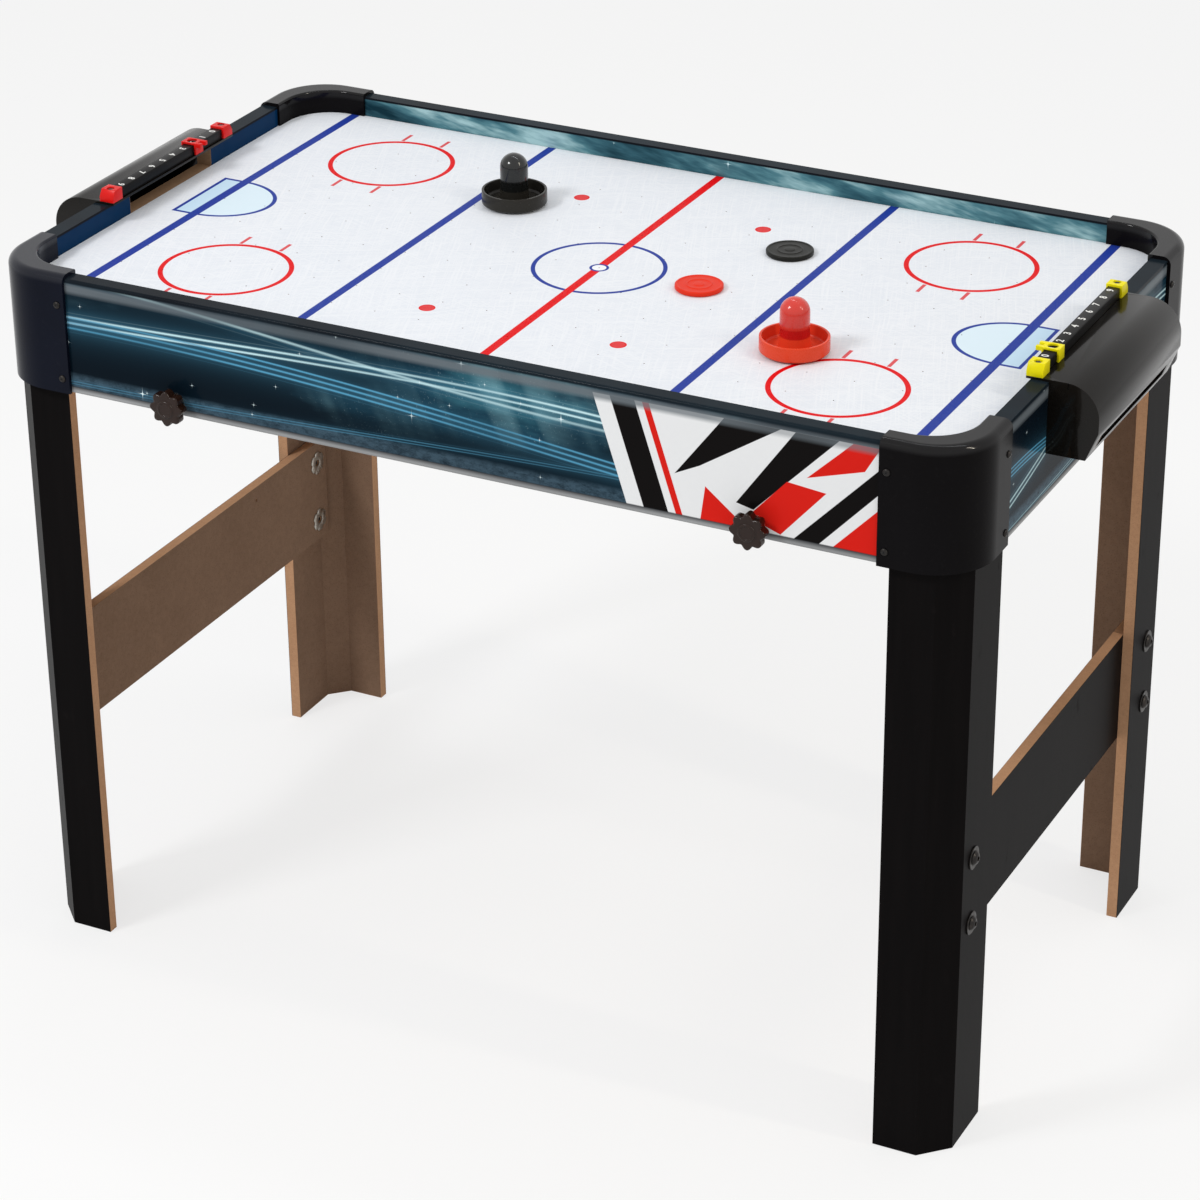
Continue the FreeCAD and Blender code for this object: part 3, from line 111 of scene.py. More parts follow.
class Paint:
    def __init__(self, name, plain):
        self.material = bpy.data.materials.new(name)
        self.material.use_nodes = True
        self.tree = self.material.node_tree
        self.shader = self.tree.nodes["Principled BSDF"]
        self.finish(plain)
        self.place = self.node("ShaderNodeTexCoord", {}, {}, "Object")

    def finish(self, values):
        for key, value in values.items():
            self.feed(self.shader.inputs[key], value)

    def feed(self, socket, value):
        if isinstance(value, Tone):
            self.tree.links.new(value.socket, socket)
        elif socket.type == "RGBA" and len(value) == 3:
            socket.default_value = (*value, 1)
        else:
            socket.default_value = value

    # any node: its type, its settings, then its sockets' values or links
    def node(self, kind, settings, values, output=0):
        made = self.tree.nodes.new(kind)
        for key, value in settings.items():
            if key == "stops":
                self.setStops(made.color_ramp, value)
            else:
                setattr(made, key, value)
        for key, value in values.items():
            self.feed(made.inputs[key], value)
        return Tone(self, made.outputs[output])

    def setStops(self, ramp, stops):
        while len(ramp.elements) < len(stops):
            ramp.elements.new(0.5)
        for element, (place, colour) in zip(ramp.elements, stops):
            element.position = place
            element.color = (*colour, 1)

    def axes(self, vector=None):
        split = self.node("ShaderNodeSeparateXYZ", {}, {0: vector or self.place})
        return [Tone(self, output) for output in split.socket.node.outputs]

    def vector(self, x, y, z):
        return self.node("ShaderNodeCombineXYZ", {}, {0: x, 1: y, 2: z})

    # a pattern's coordinates, from its grain size in metres, turned about the Z axis
    def laid(self, grain, turn=0.0, shift=0.0, vector=None):
        return self.node("ShaderNodeMapping", {"vector_type": "TEXTURE"}, {
            0: vector or self.place, "Location": (shift, shift, 0.0), "Rotation": (0, 0, turn),
            "Scale": grain})

    def noise(self, scale, detail=2.0, rough=0.5, vector=None):
        return self.node("ShaderNodeTexNoise", {}, {
            0: vector or self.place, "Scale": scale, "Detail": detail, "Roughness": rough})

    def cells(self, scale):
        return self.node("ShaderNodeTexVoronoi", {}, {0: self.place, "Scale": scale}, "Distance")

    def mix(self, factor, low, high):
        return self.node("ShaderNodeMix", {"data_type": "RGBA"}, {0: factor, 6: low, 7: high}, 2)

    def ramp(self, value, stops):
        return self.node("ShaderNodeValToRGB", {"stops": stops}, {0: value})

    def bump(self, height, strength, distance):
        return self.node("ShaderNodeBump", {}, {
            "Height": height, "Strength": strength, "Distance": distance})

    # inside a convex outline of (u, v) corners that run anticlockwise
    def inside(self, u, v, corners, soft):
        reach = None
        for (u0, v0), (u1, v1) in zip(corners, corners[1:] + corners[:1]):
            long = math.hypot(u1 - u0, v1 - v0)
            nu, nv = (v0 - v1) / long, (u1 - u0) / long
            away = u * nu + v * nv - (u0 * nu + v0 * nv)
            reach = away if reach is None else reach.least(away)
        return reach.edge(soft)


def line(distance, half, soft=0.0005):
    return (half - abs(distance)).edge(soft)


# Camera, light and floor
view = {
    "turn": 25.9, "rise": 26.6, "place": (1.638, -3.207, 2.217),
    "lens": 113.3, "middle": (670, 564), "frame": 1200,
}

lamps = {
    # name: place, aim, width, height, power, colour
    "keyLamp": ((-1.5, -2.3, 3.1), (0.0, 0.0, 0.6), 0.8, 0.6, 52, (1.0, 1.0, 1.0)),
    "topLamp": ((0.1, 0.7, 3.2), (0.0, 0.0, 0.75), 2.4, 0.045, 9, (0.92, 0.96, 1.0)),
    "sideLamp": ((2.7, -0.2, 2.6), (0.4, -0.1, 0.7), 0.10, 1.2, 20, (1.0, 0.91, 0.76)),
}

studio = {"world": 0.62, "floor": 0.90, "floorLift": 0.72, "floorSize": 14.0, "floorDrop": 0.0005}


# a place whose Z axis points along a direction
def facing(place, direction):
    return Matrix.Translation(place) @ Vector(direction).to_track_quat("Z", "Y").to_matrix().to_4x4()


def setCamera():
    turn, rise = math.radians(view["turn"]), math.radians(view["rise"])
    back = Vector((math.sin(turn) * math.cos(rise), -math.cos(turn) * math.cos(rise), math.sin(rise)))
    data = bpy.data.cameras.new("tableCamera")
    data.sensor_width = 36
    data.lens = view["lens"]
    data.shift_x = (view["frame"] / 2 - view["middle"][0]) / view["frame"]
    data.shift_y = (view["middle"][1] - view["frame"] / 2) / view["frame"]
    camera = bpy.data.objects.new("tableCamera", data)
    scene.collection.objects.link(camera)
    camera.matrix_world = facing(view["place"], back)
    scene.camera = camera


def setLamps():
    for name, (place, aim, wide, high, power, colour) in lamps.items():
        data = bpy.data.lights.new(name, "AREA")
        data.shape = "RECTANGLE"
        data.size, data.size_y = wide, high
        data.energy = power
        data.color = colour
        lamp = bpy.data.objects.new(name, data)
        scene.collection.objects.link(lamp)
        lamp.matrix_world = facing(place, Vector(place) - Vector(aim))


# the studio is white to the camera and in reflections, and softer as a light
def seenRays(paint):
    rays = paint.node("ShaderNodeLightPath", {}, {}).socket.node.outputs
    return [Tone(paint, rays[name]) for name in
            ("Is Camera Ray", "Is Glossy Ray", "Is Transmission Ray")]


def setWorld():
    world = bpy.data.worlds.new("studio")
    world.use_nodes = True
    scene.world = world
    tree = world.node_tree
    ground = tree.nodes["Background"]
    ground.inputs["Color"].default_value = (1, 1, 1, 1)
    rays = tree.nodes.new("ShaderNodeLightPath")
    seen = rays.outputs["Is Camera Ray"]
    for name in ("Is Glossy Ray", "Is Transmission Ray"):
        join = tree.nodes.new("ShaderNodeMath")
        join.operation = "MAXIMUM"
        tree.links.new(seen, join.inputs[0])
        tree.links.new(rays.outputs[name], join.inputs[1])
        seen = join.outputs[0]
    level = tree.nodes.new("ShaderNodeMapRange")
    level.inputs["To Min"].default_value = studio["world"]
    tree.links.new(seen, level.inputs["Value"])
    tree.links.new(level.outputs[0], ground.inputs["Strength"])


def setFloor():
    shape = bmesh.new()
    bmesh.ops.create_grid(shape, x_segments=1, y_segments=1, size=studio["floorSize"] / 2)
    mesh = bpy.data.meshes.new("studioFloor")
    shape.to_mesh(mesh)
    shape.free()
    floor = bpy.data.objects.new("studioFloor", mesh)
    scene.collection.objects.link(floor)
    floor.location.z = -studio["floorDrop"]
    paint = Paint("studioFloor", {"Base Color": (studio["floor"],) * 3, "Roughness": 0.9,
                                  "Specular IOR Level": 0.0})
    camera, glossy, through = seenRays(paint)
    glow = paint.node("ShaderNodeEmission", {}, {"Color": (1, 1, 1), "Strength": 1.0})
    shown = camera.most(glossy, through) * studio["floorLift"]
    blend = paint.node("ShaderNodeMixShader", {}, {0: shown})
    paint.tree.links.new(paint.shader.outputs[0], blend.socket.node.inputs[1])
    paint.tree.links.new(glow.socket, blend.socket.node.inputs[2])
    paint.tree.links.new(blend.socket, paint.tree.nodes["Material Output"].inputs["Surface"])
    mesh.materials.append(paint.material)


scene.view_settings.view_transform = "Standard"
setCamera()
setLamps()
setWorld()
setFloor()
print("camera, lamps and floor set")


# The playing surface's print
rinkInk = {
    "ice": (0.79, 0.815, 0.86), "dull": (0.68, 0.72, 0.785), "bright": (0.87, 0.885, 0.91),
    "red": (0.72, 0.0015, 0.004), "blue": (0.014, 0.040, 0.300), "paleRed": (0.68, 0.085, 0.095),
    "spot": (0.70, 0.045, 0.050), "crease": (0.69, 0.82, 0.90), "creaseDeep": (0.55, 0.73, 0.88),
}
rinkMarks = {
    "red": 0.0049, "blue": 0.0050, "goal": 0.0054, "centreFine": 0.0023, "creaseFine": 0.0020,
    "ringFine": 0.0027, "blueLine": 0.206, "goalLine": 0.456, "centreRing": 0.068,
    "centreDot": 0.0088, "ringX": 0.342, "ringY": 0.171, "ring": 0.067, "tickX": 0.024,
    "tickLong": 0.021, "spotX": 0.107, "spotY": 0.170, "spot": 0.0085,
    "creaseHalf": 0.052, "creaseDeep": 0.061, "creaseBack": 0.025, "face": 0.7538,
}
# strokes cut by skates: width and length in metres, turn, shift, share that shows, softness
skateStrokes = [
    (0.0016, 0.070, 0.35, 0.3, 0.60, 0.09), (0.0013, 0.050, 1.25, 2.1, 0.61, 0.08),
    (0.0018, 0.095, 2.05, 4.7, 0.60, 0.09), (0.0012, 0.040, 2.75, 7.9, 0.62, 0.08),
]


def rinkPrint():
    marks = rinkMarks
    paint = Paint("rinkPrint", {"Specular IOR Level": 0.07})
    x, y, z = paint.axes()
    farX, farY = abs(x), abs(y)

    def span(u, v):
        return (u * u + v * v) ** 0.5

    middle = span(x, y)
    ring = span(farX - marks["ringX"], farY - marks["ringY"])
    spot = span(farX - marks["spotX"], farY - marks["spotY"])
    past = farX - marks["goalLine"]
    dome = span(past * (1 / marks["creaseDeep"]), y * (1 / marks["creaseHalf"]))
    domeEdge = (1 - dome) * marks["creaseHalf"]
    inFront = (0 - past).edge(0.0004)
    boxEdge = past.least(marks["creaseBack"] - past, marks["creaseHalf"] - farY)
    domeFill = domeEdge.edge(0.0006) * inFront
    boxFill = boxEdge.edge(0.0006)

    # skated ice: cloudy, with fine strokes that wander in every direction
    cloud = paint.noise(7.0, 5.0, 0.65)
    wander = paint.noise(6.0, 2.0, 0.5)
    bent = paint.node("ShaderNodeVectorMath", {"operation": "ADD"},
                      {0: paint.place, 1: paint.vector(wander * 0.035, wander * -0.05, 0.0)})
    bright = dark = None
    for wide, long, turn, shift, share, soft in skateStrokes:
        grain = paint.laid((wide, long, 1.0), turn, shift, bent)
        lay = paint.noise(1.0, 2.0, 0.5, grain)
        high, low = (lay - share).edge(soft), (1 - lay - share).edge(soft)
        bright = high if bright is None else bright.most(high)
        dark = low if dark is None else dark.most(low)
    speck = paint.noise(520.0, 2.0, 0.6)
    soil = (cloud - 0.40).edge(0.7) * 0.30 + dark * 0.22 + (speck - 0.5) * 0.10
    ice = paint.mix(bright * 0.42, paint.mix(soil.clamped(), rinkInk["ice"], rinkInk["dull"]),
                    rinkInk["bright"])

    # the prints go on one over the other
    tick = line(abs(farX - marks["ringX"]) - marks["tickX"], 0.0020)
    tickSpan = abs(farY - marks["ringY"]) - marks["ring"] - marks["tickLong"] / 2
    layers = [
        (domeFill, rinkInk["crease"]),
        (boxFill, rinkInk["creaseDeep"]),
        ((line(domeEdge, marks["creaseFine"]) * inFront).most(
            line(boxEdge, marks["creaseFine"]) * (past + 0.001).edge(0.0004)), rinkInk["blue"]),
        (tick * line(tickSpan, marks["tickLong"] / 2), rinkInk["paleRed"]),
        (line(ring - marks["ring"], marks["ringFine"]), rinkInk["red"]),
        ((marks["spot"] - spot).edge(0.0006), rinkInk["spot"]),
        (line(spot - marks["spot"] + 0.001, 0.0006), rinkInk["red"]),
        (line(farX - marks["blueLine"], marks["blue"]).most(line(past, marks["goal"])),
         rinkInk["blue"]),
        (line(middle - marks["centreRing"], marks["centreFine"]), rinkInk["blue"]),
        (line(x, marks["red"]), rinkInk["red"]),
        ((marks["centreDot"] - middle).edge(0.0005), rinkInk["bright"]),
        (line(middle - marks["centreDot"], 0.0014), rinkInk["blue"]),
    ]
    colour = ice
    for mask, ink in layers:
        colour = paint.mix(mask, colour, ink)
    board = (z - marks["face"]).edge(0.0002)
    raw = paint.mix(paint.noise(180.0, 3.0, 0.6), (0.30, 0.19, 0.12), (0.20, 0.12, 0.075))
    paint.finish({
        "Base Color": paint.mix(board, raw, colour),
        "Roughness": 0.34 + dark * 0.10 + cloud * 0.12,
        "Normal": paint.bump(bright - dark + speck * 0.4, 0.15, 0.0001)})
    return paint.material


# The aprons' print
apronInk = {
    "night": (0.0016, 0.0030, 0.0062), "deep": (0.0045, 0.024, 0.042), "teal": (0.034, 0.135, 0.175),
    "mist": (0.24, 0.45, 0.50), "beam": (0.62, 0.88, 0.93), "blueBeam": (0.10, 0.36, 0.56),
    "ice": (0.055, 0.095, 0.130), "white": (0.84, 0.85, 0.86), "black": (0.006, 0.005, 0.005),
    # gloss is the grey of the painted highlight under the aprons' top edge
    "red": (0.70, 0.016, 0.010), "rail": (0.0065, 0.0080, 0.0115), "gloss": (0.155, 0.180, 0.200),
    "navy": (0.0012, 0.022, 0.074), "board": (0.46, 0.29, 0.175), "boardDeep": (0.30, 0.18, 0.105),
}
apron = {
    "low": 0.651, "top": 0.776, "longIn": 0.2923, "endIn": 0.5173, "halfLong": 0.445,
    "longCut": 0.4768, "endCut": 0.2518, "mouth": 0.0802, "mouthLow": 0.7528,
}

# a sweep of light: height at the middle, swing, waves a metre, phase, slope, width, lines, ink, power
longSweeps = [
    (0.7330, 0.0140, 4.6, 1.15, -0.026, 0.0062, 2.0, "beam", 1.00),
    (0.6980, 0.0180, 3.7, 2.60, -0.034, 0.0085, 3.0, "blueBeam", 1.00),
    (0.7450, 0.0100, 5.4, 4.10, -0.046, 0.0040, 1.0, "beam", 0.60),
    (0.6760, 0.0060, 5.1, 0.40, 0.014, 0.0028, 2.0, "blueBeam", 0.45),
]
endSweeps = [
    (0.7180, 0.0180, 8.0, 0.80, 0.075, 0.0060, 2.0, "beam", 0.80),
    (0.6920, 0.0130, 9.5, 2.90, -0.080, 0.0060, 3.0, "blueBeam", 1.00),
    (0.6720, 0.0060, 7.0, 4.60, 0.060, 0.0030, 2.0, "beam", 0.50),
]

# the light panel at the right-hand end of the front: flat shapes in length and height, mm
panelEdge = [(188, 651), (445, 651), (445, 768), (150, 768)]
panelShapes = [
    ("black", [(206, 651), (232, 651), (194, 768), (168, 768)]),
    ("red", [(240, 651), (247, 651), (209, 768), (202, 768)]),
    ("black", [(287, 768), (236, 701), (262, 714), (345, 768)]),
    ("red", [(262, 651), (322, 651), (268, 694)]),
    ("black", [(360, 768), (300, 684), (318, 680), (404, 768)]),
    ("black", [(352, 651), (378, 651), (445, 722), (445, 747)]),
    ("red", [(392, 651), (445, 651), (445, 706)]),
    ("red", [(312, 672), (346, 660), (392, 712), (352, 716)]),
    ("red", [(418, 768), (372, 724), (430, 742), (445, 768)]),
]


# corners in mm as an anticlockwise outline in metres
def outline(corners):
    area = sum(a[0] * b[1] - b[0] * a[1] for a, b in zip(corners, corners[1:] + corners[:1]))
    ordered = corners if area > 0 else corners[::-1]
    return [(a * mm, b * mm) for a, b in ordered]


# glints with four points, scattered thinly
def glints(paint, flat, scale, share):
    cell = paint.node("ShaderNodeTexVoronoi", {"voronoi_dimensions": "2D"},
                      {0: flat, "Scale": scale}, "Position")
    off = paint.node("ShaderNodeVectorMath", {"operation": "SUBTRACT"}, {0: flat, 1: cell})
    du, dv = paint.axes(off)[:2]
    reach = 0.13 / scale
    near = (1 - (du * du + dv * dv) ** 0.5 * (1 / reach)).clamped()
    cross = (1 - abs(du * dv) * (1 / (reach * reach * 0.012))).clamped()
    chosen = (paint.noise(37.0, 0.0, 0.5, cell) - share).edge(0.01)
    return near * cross * chosen


def apronPrint(name, along, sweeps, panel, seed, tone):
    ink = apronInk
    paint = Paint(name, {"Specular IOR Level": 0.02, "Coat Roughness": 0.06, "Roughness": 0.22})
    x, y, z = paint.axes()
    u = x if along == "x" else y
    across = abs(y) if along == "x" else abs(x)
    inner = apron["longIn"] if along == "x" else apron["endIn"]
    rise = (z - apron["low"]) * (1 / (apron["top"] - apron["low"]))

    # a night stadium's haze: stretched clouds of teal over near black, lighter above the middle
    flow = paint.vector(u * 4.2 + seed, seed, z * 17.0)
    haze = paint.noise(1.0, 5.0, 0.62, flow)
    glow = paint.noise(1.0, 2.0, 0.5, paint.vector(u * 2.4 + seed * 2, seed, z * 4.0))
    spread = 1 - u * u * (1 / (apron["halfLong"] ** 2))
    leftDark = (u + 0.16).edge(0.50) * 0.65 + 0.35
    light = ((haze - 0.5) * 1.7 + (glow - 0.5) * 1.8 + rise * 0.60 + spread * 0.25 + tone).clamped()
    light = light * leftDark
    colour = paint.ramp(light, [(0.0, ink["night"]), (0.36, ink["deep"]), (0.70, ink["teal"]),
                                (1.0, ink["mist"])])
    shaft = paint.noise(1.0, 2.0, 0.5, paint.vector(u * 26.0 + z * 12.0 + seed, seed, z * 1.5))
    colour = paint.mix((shaft - 0.58).edge(0.22) * light * 0.6, colour, ink["mist"])

    # lower edge of blue-grey rink ice
    band = (0.165 - rise + (haze - 0.5) * 0.06).edge(0.05)
    rough = paint.noise(1.0, 6.0, 0.8, paint.vector(u * 90.0, seed, z * 190.0))
    ice = paint.mix((rough - 0.42).edge(0.30), ink["night"], ink["ice"])
    colour = paint.mix((0.30 - rise).edge(0.16) * 0.8, colour, ink["night"])
    colour = paint.mix(band * 0.85, colour, ice)
    dust = (paint.noise(1.0, 3.0, 0.8, paint.vector(u * 420.0, seed, z * 420.0)) - 0.66).edge(0.05)
    colour = paint.mix(dust * light * 0.5, colour, ink["beam"])

    for height, swing, waves, phase, slope, wide, count, shade, power in sweeps:
        path = (u * waves + phase).sine() * swing + u * slope + height
        off = z - path
        halo = wide * wide * 1.3
        colour = paint.mix((halo / (off * off + halo)) * 0.17 * power, colour, ink["blueBeam"])
        strand = ((off * (math.pi * count / wide)).sine() * 0.5 + 0.5) ** 3.0
        body = (wide - abs(off)).edge(0.0016)
        fade = (paint.noise(1.0, 1.0, 0.5, paint.vector(u * 4.0 + phase, seed, 0.0)) - 0.36).edge(0.35)
        colour = paint.mix(strand * body * (fade * 0.6 + 0.4) * power, colour, ink[shade])

    stars = glints(paint, paint.vector(u, z, 0.0), 16.0, 0.56).most(
        glints(paint, paint.vector(u, z, seed), 34.0, 0.63) * 0.8)
    colour = paint.mix((stars * 1.6).clamped(), colour, (0.80, 0.96, 1.0))

    if panel:
        where = paint.inside(u, z, outline(panelEdge), 0.0004)
        fibre = paint.noise(240.0, 2.0, 0.5)
        sheet = paint.mix(fibre * 0.12, ink["white"], (0.70, 0.71, 0.73))
        for shade, corners in panelShapes:
            sheet = paint.mix(paint.inside(u, z, outline(corners), 0.0004), sheet, ink[shade])
        colour = paint.mix(where, colour, sheet)

    # the rail: a painted highlight in soft grey under the top edge, black over it, and a grey band along the
    # bottom painted as the highlight of the rounded lower edge
    drift = paint.noise(1.0, 1.0, 0.5, paint.vector(u * 3.0 + seed, seed, 0.0))
    # the grey band under the top edge is a painted highlight, its strength drifting along the length
    paintedHighlight = line(z - 0.7665, 0.0048, 0.005) * ((drift - 0.34).edge(0.3) * 0.55 + 0.28)
    colour = paint.mix(paintedHighlight, colour, ink["gloss"])
    tinted = paint.mix((haze - 0.5).edge(0.4) * 0.5, ink["rail"], (0.018, 0.038, 0.052))
    colour = paint.mix((z - 0.7722).edge(0.0016), colour, tinted)
    # a painted highlight on the rounded lower edge: grey at the bottom, turning to black under the print,
    # lighter and darker along the length
    lower = paint.mix(paint.noise(1.0, 1.0, 0.5, paint.vector(u * 6.0, 0.0, 0.0)),
                      (0.20, 0.205, 0.21), (0.42, 0.43, 0.44))
    lower = paint.mix((0.6570 - z).edge(0.0050), ink["rail"], lower)
    colour = paint.mix((0.6592 - z).edge(0.0012), colour, lower)

    # inner wall of the rink, and the bare board where it is cut
    inside = (inner - across).edge(0.0003)
    if along == "x":
        slant = paint.vector(u * 11.0 + z * 34.0 + seed, seed, z * 22.0 - u * 3.0)
        pale = paint.noise(1.0, 4.0, 0.6, slant)
        wall = paint.ramp(pale, [(0.28, (0.006, 0.030, 0.045)), (0.43, (0.036, 0.110, 0.145)),
                                 (0.53, (0.085, 0.215, 0.255)), (0.66, (0.36, 0.56, 0.59))])
        wall = paint.mix((stars * 1.2).clamped(), wall, (0.65, 0.90, 0.95))
    else:
        wall = paint.mix(paint.noise(24.0, 3.0, 0.6), ink["navy"], (0.003, 0.032, 0.095))
    wall = paint.mix((z - 0.7735).edge(0.001), wall, ink["rail"])
    colour = paint.mix(inside, colour, wall)
    fibres = paint.noise(1.0, 4.0, 0.7, paint.vector(x * 220.0, y * 220.0, z * 520.0))
    bare = paint.mix(fibres, ink["board"], ink["boardDeep"])
    if along == "y":
        mouth = (apron["mouth"] - abs(y)).edge(0.0001) * (z - apron["mouthLow"]).edge(0.0002)
        colour = paint.mix(mouth, colour, bare)
        cut = (abs(y) - apron["endCut"]).edge(0.0002).most(mouth)
    else:
        cut = (abs(x) - apron["longCut"]).edge(0.0002)
    under = (apron["low"] + 0.0003 - z).edge(0.0002)
    cut = cut.most(under)
    colour = paint.mix(cut, colour, bare)
    film = paint.noise(900.0, 2.0, 0.5)
    paint.finish({
        "Base Color": colour,
        "Roughness": 0.17 + film * 0.06 + cut * 0.5,
        "Coat Weight": (1 - cut) * 0.02,
        "Normal": paint.bump(film * (1 - cut) * 0.2 + fibres * cut, 0.22, 0.00025)})
    return paint.material


# Mouldings, boards and metal
# crease is how far out a fine pressed line runs along a hood, with painted shade in it, gloss is a polish
# above a height, and bands are colours that hold below a height, which paint light and shade on the pushers
def moulded(name, colour, sheen, grain, spec=0.3, tint=None, depth=0.03, crease=None, gloss=None,
            bands=()):
    paint = Paint(name, {"Specular IOR Level": spec, "Coat Roughness": 0.07})
    x, y, z = paint.axes()
    cloud = paint.noise(9.0, 3.0, 0.55)
    pores = paint.noise(grain, 2.0, 0.6)
    dust = (paint.noise(240.0, 4.0, 0.75) - 0.62).edge(0.10)
    other = tint or tuple(min(1.0, part * 1.4 + 0.001) for part in colour)
    body = paint.mix((cloud - 0.35).edge(0.5) * 0.7, colour, other)
    height = pores + cloud * 0.3
    for level, shade in bands:
        body = paint.mix((level - z).edge(0.001), body, shade)
    if crease:
        # the pressed line is a shallow groove in the bump, and painted shade darkens it to near black
        pressed = line(abs(x) - crease, 0.0005, 0.0004) * (z - 0.772).edge(0.001)
        body = paint.mix(pressed, body, (0.001, 0.001, 0.001))
        height = height - pressed * 6.0
    if gloss:
        weight, low = gloss
        paint.finish({"Coat Weight": (z - low).edge(0.004) * weight})
    paint.finish({
        "Base Color": paint.mix(dust * 0.004, body, (0.45, 0.44, 0.42)),
        "Roughness": sheen + cloud * 0.05 + dust * 0.06 + pores * 0.02,
        "Normal": paint.bump(height, depth, 0.00018)})
    return paint.material


def rawFibre(paint, pale, deep, scale=1.0):
    speck = paint.noise(900.0 * scale, 3.0, 0.75)
    flake = paint.noise(150.0 * scale, 4.0, 0.7)
    patch = paint.noise(9.0, 3.0, 0.6)
    fleck = (paint.cells(420.0 * scale) * -1 + 0.22).edge(0.10)
    amount = ((speck - 0.5) * 0.9 + (flake - 0.5) * 0.9 + (patch - 0.5) * 0.9 + 0.5).clamped()
    return paint.mix(fleck * 0.35, paint.mix(amount, pale, deep), tuple(c * 0.45 for c in deep)), speck


boardInk = {
    "laminate": (0.0048, 0.0042, 0.0043), "worn": (0.0115, 0.0095, 0.0095),
    "back": (0.300, 0.192, 0.130), "backDeep": (0.205, 0.128, 0.084),
    "edge": (0.60, 0.350, 0.205), "edgeDeep": (0.43, 0.235, 0.130),
}


# black paper on the outside of a board, raw brown on its back, tan where it is sawn
def laminated(name, outside, sawn):
    ink = boardInk
    paint = Paint(name, {"Specular IOR Level": 0.015})
    x, y, z = paint.axes()
    skin = outside(paint, abs(x), abs(y), z)
    saw = sawn(paint, abs(x), abs(y), z)
    back, speck = rawFibre(paint, ink["back"], ink["backDeep"])
    tan, grit = rawFibre(paint, ink["edge"], ink["edgeDeep"], 1.4)
    streak = paint.noise(1.0, 3.0, 0.6, paint.vector(x * 90.0, y * 90.0, z * 6.0))
    scuff = (paint.noise(1.0, 5.0, 0.75, paint.vector(x * 40.0, y * 40.0, z * 14.0)) - 0.66).edge(0.08)
    black = paint.mix(scuff * 0.30 + (streak - 0.5) * 0.5 + 0.12, ink["laminate"], ink["worn"])
    colour = paint.mix(skin, paint.mix(saw, back, tan), black)
    pores = paint.noise(1400.0, 2.0, 0.6)
    paint.finish({
        "Base Color": colour,
        "Roughness": 0.86 - skin * 0.48 + scuff * skin * 0.12 + (pores - 0.5) * 0.06,
        "Normal": paint.bump(speck * (1 - skin) + pores * skin * 0.22 + streak * 0.1, 0.35, 0.0003)})
    return paint.material


legShape = {"x": 0.529, "y": 0.304, "fold": 0.028, "front": 0.075, "side": 0.098}
panelFace = {"outer": 0.5166, "inner": 0.5053}


def legSkin(paint, farX, farY, z):
    u, v = legShape["x"] - farX, legShape["y"] - farY
    corner = (u + v - legShape["fold"]) * 0.7071
    return (0.00045 - u.least(v, corner)).edge(0.0002)


def legSawn(paint, farX, farY, z):
    u, v = legShape["x"] - farX, legShape["y"] - farY
    ends = (u - legShape["front"] + 0.0004).most(v - legShape["side"] + 0.0004, 0.0004 - z)
    return ends.edge(0.0002)


def panelSkin(paint, farX, farY, z):
    return (farX - panelFace["outer"]).edge(0.0002)


def panelSawn(paint, farX, farY, z):
    return (farX - panelFace["inner"]).edge(0.0002)


def rawBoard(name, pale, deep, sheen=0.88):
    paint = Paint(name, {"Specular IOR Level": 0.2})
    colour, speck = rawFibre(paint, pale, deep)
    paint.finish({"Base Color": colour, "Roughness": sheen + (speck - 0.5) * 0.1,
                  "Normal": paint.bump(speck, 0.4, 0.0003)})
    return paint.material


def sawnWood(name, along):
    paint = Paint(name, {"Specular IOR Level": 0.25})
    x, y, z = paint.axes()
    far = {"x": (x * 3.0, y * 60.0, z * 60.0), "y": (x * 60.0, y * 3.0, z * 60.0)}[along]
    grain = paint.noise(1.0, 5.0, 0.65, paint.vector(*far))
    rings = ((grain * 34.0).sine() * 0.5 + 0.5) ** 2.0
    colour = paint.mix(rings * 0.6, (0.50, 0.34, 0.19), (0.33, 0.20, 0.10))
    paint.finish({"Base Color": paint.mix(grain, colour, (0.58, 0.42, 0.26)),
                  "Roughness": 0.75 + rings * 0.1, "Normal": paint.bump(rings, 0.3, 0.0003)})
    return paint.material


def metal(name, colour, rough, stain):
    paint = Paint(name, {"Specular IOR Level": 0.5})
    lay = paint.noise(1.0, 3.0, 0.6, paint.laid((0.0011, 0.0011, 0.016)))
    spotty = (paint.noise(160.0, 4.0, 0.7) - 0.55).edge(0.2)
    paint.finish({
        "Base Color": paint.mix(spotty * 0.5, colour, stain), "Metallic": 1.0 - spotty * 0.15,
        "Roughness": rough + spotty * 0.15 + lay * 0.08, "Normal": paint.bump(lay, 0.12, 0.0001)})
    return paint.material


def felted(name, colour):
    paint = Paint(name, {"Specular IOR Level": 0.1, "Sheen Weight": 0.3})
    fuzz = paint.noise(1600.0, 4.0, 0.8)
    mat = paint.noise(260.0, 3.0, 0.7)
    paint.finish({"Base Color": paint.mix(fuzz, colour, tuple(c * 0.45 for c in colour)),
                  "Roughness": 0.95, "Normal": paint.bump(fuzz + mat, 0.7, 0.0005)})
    return paint.material


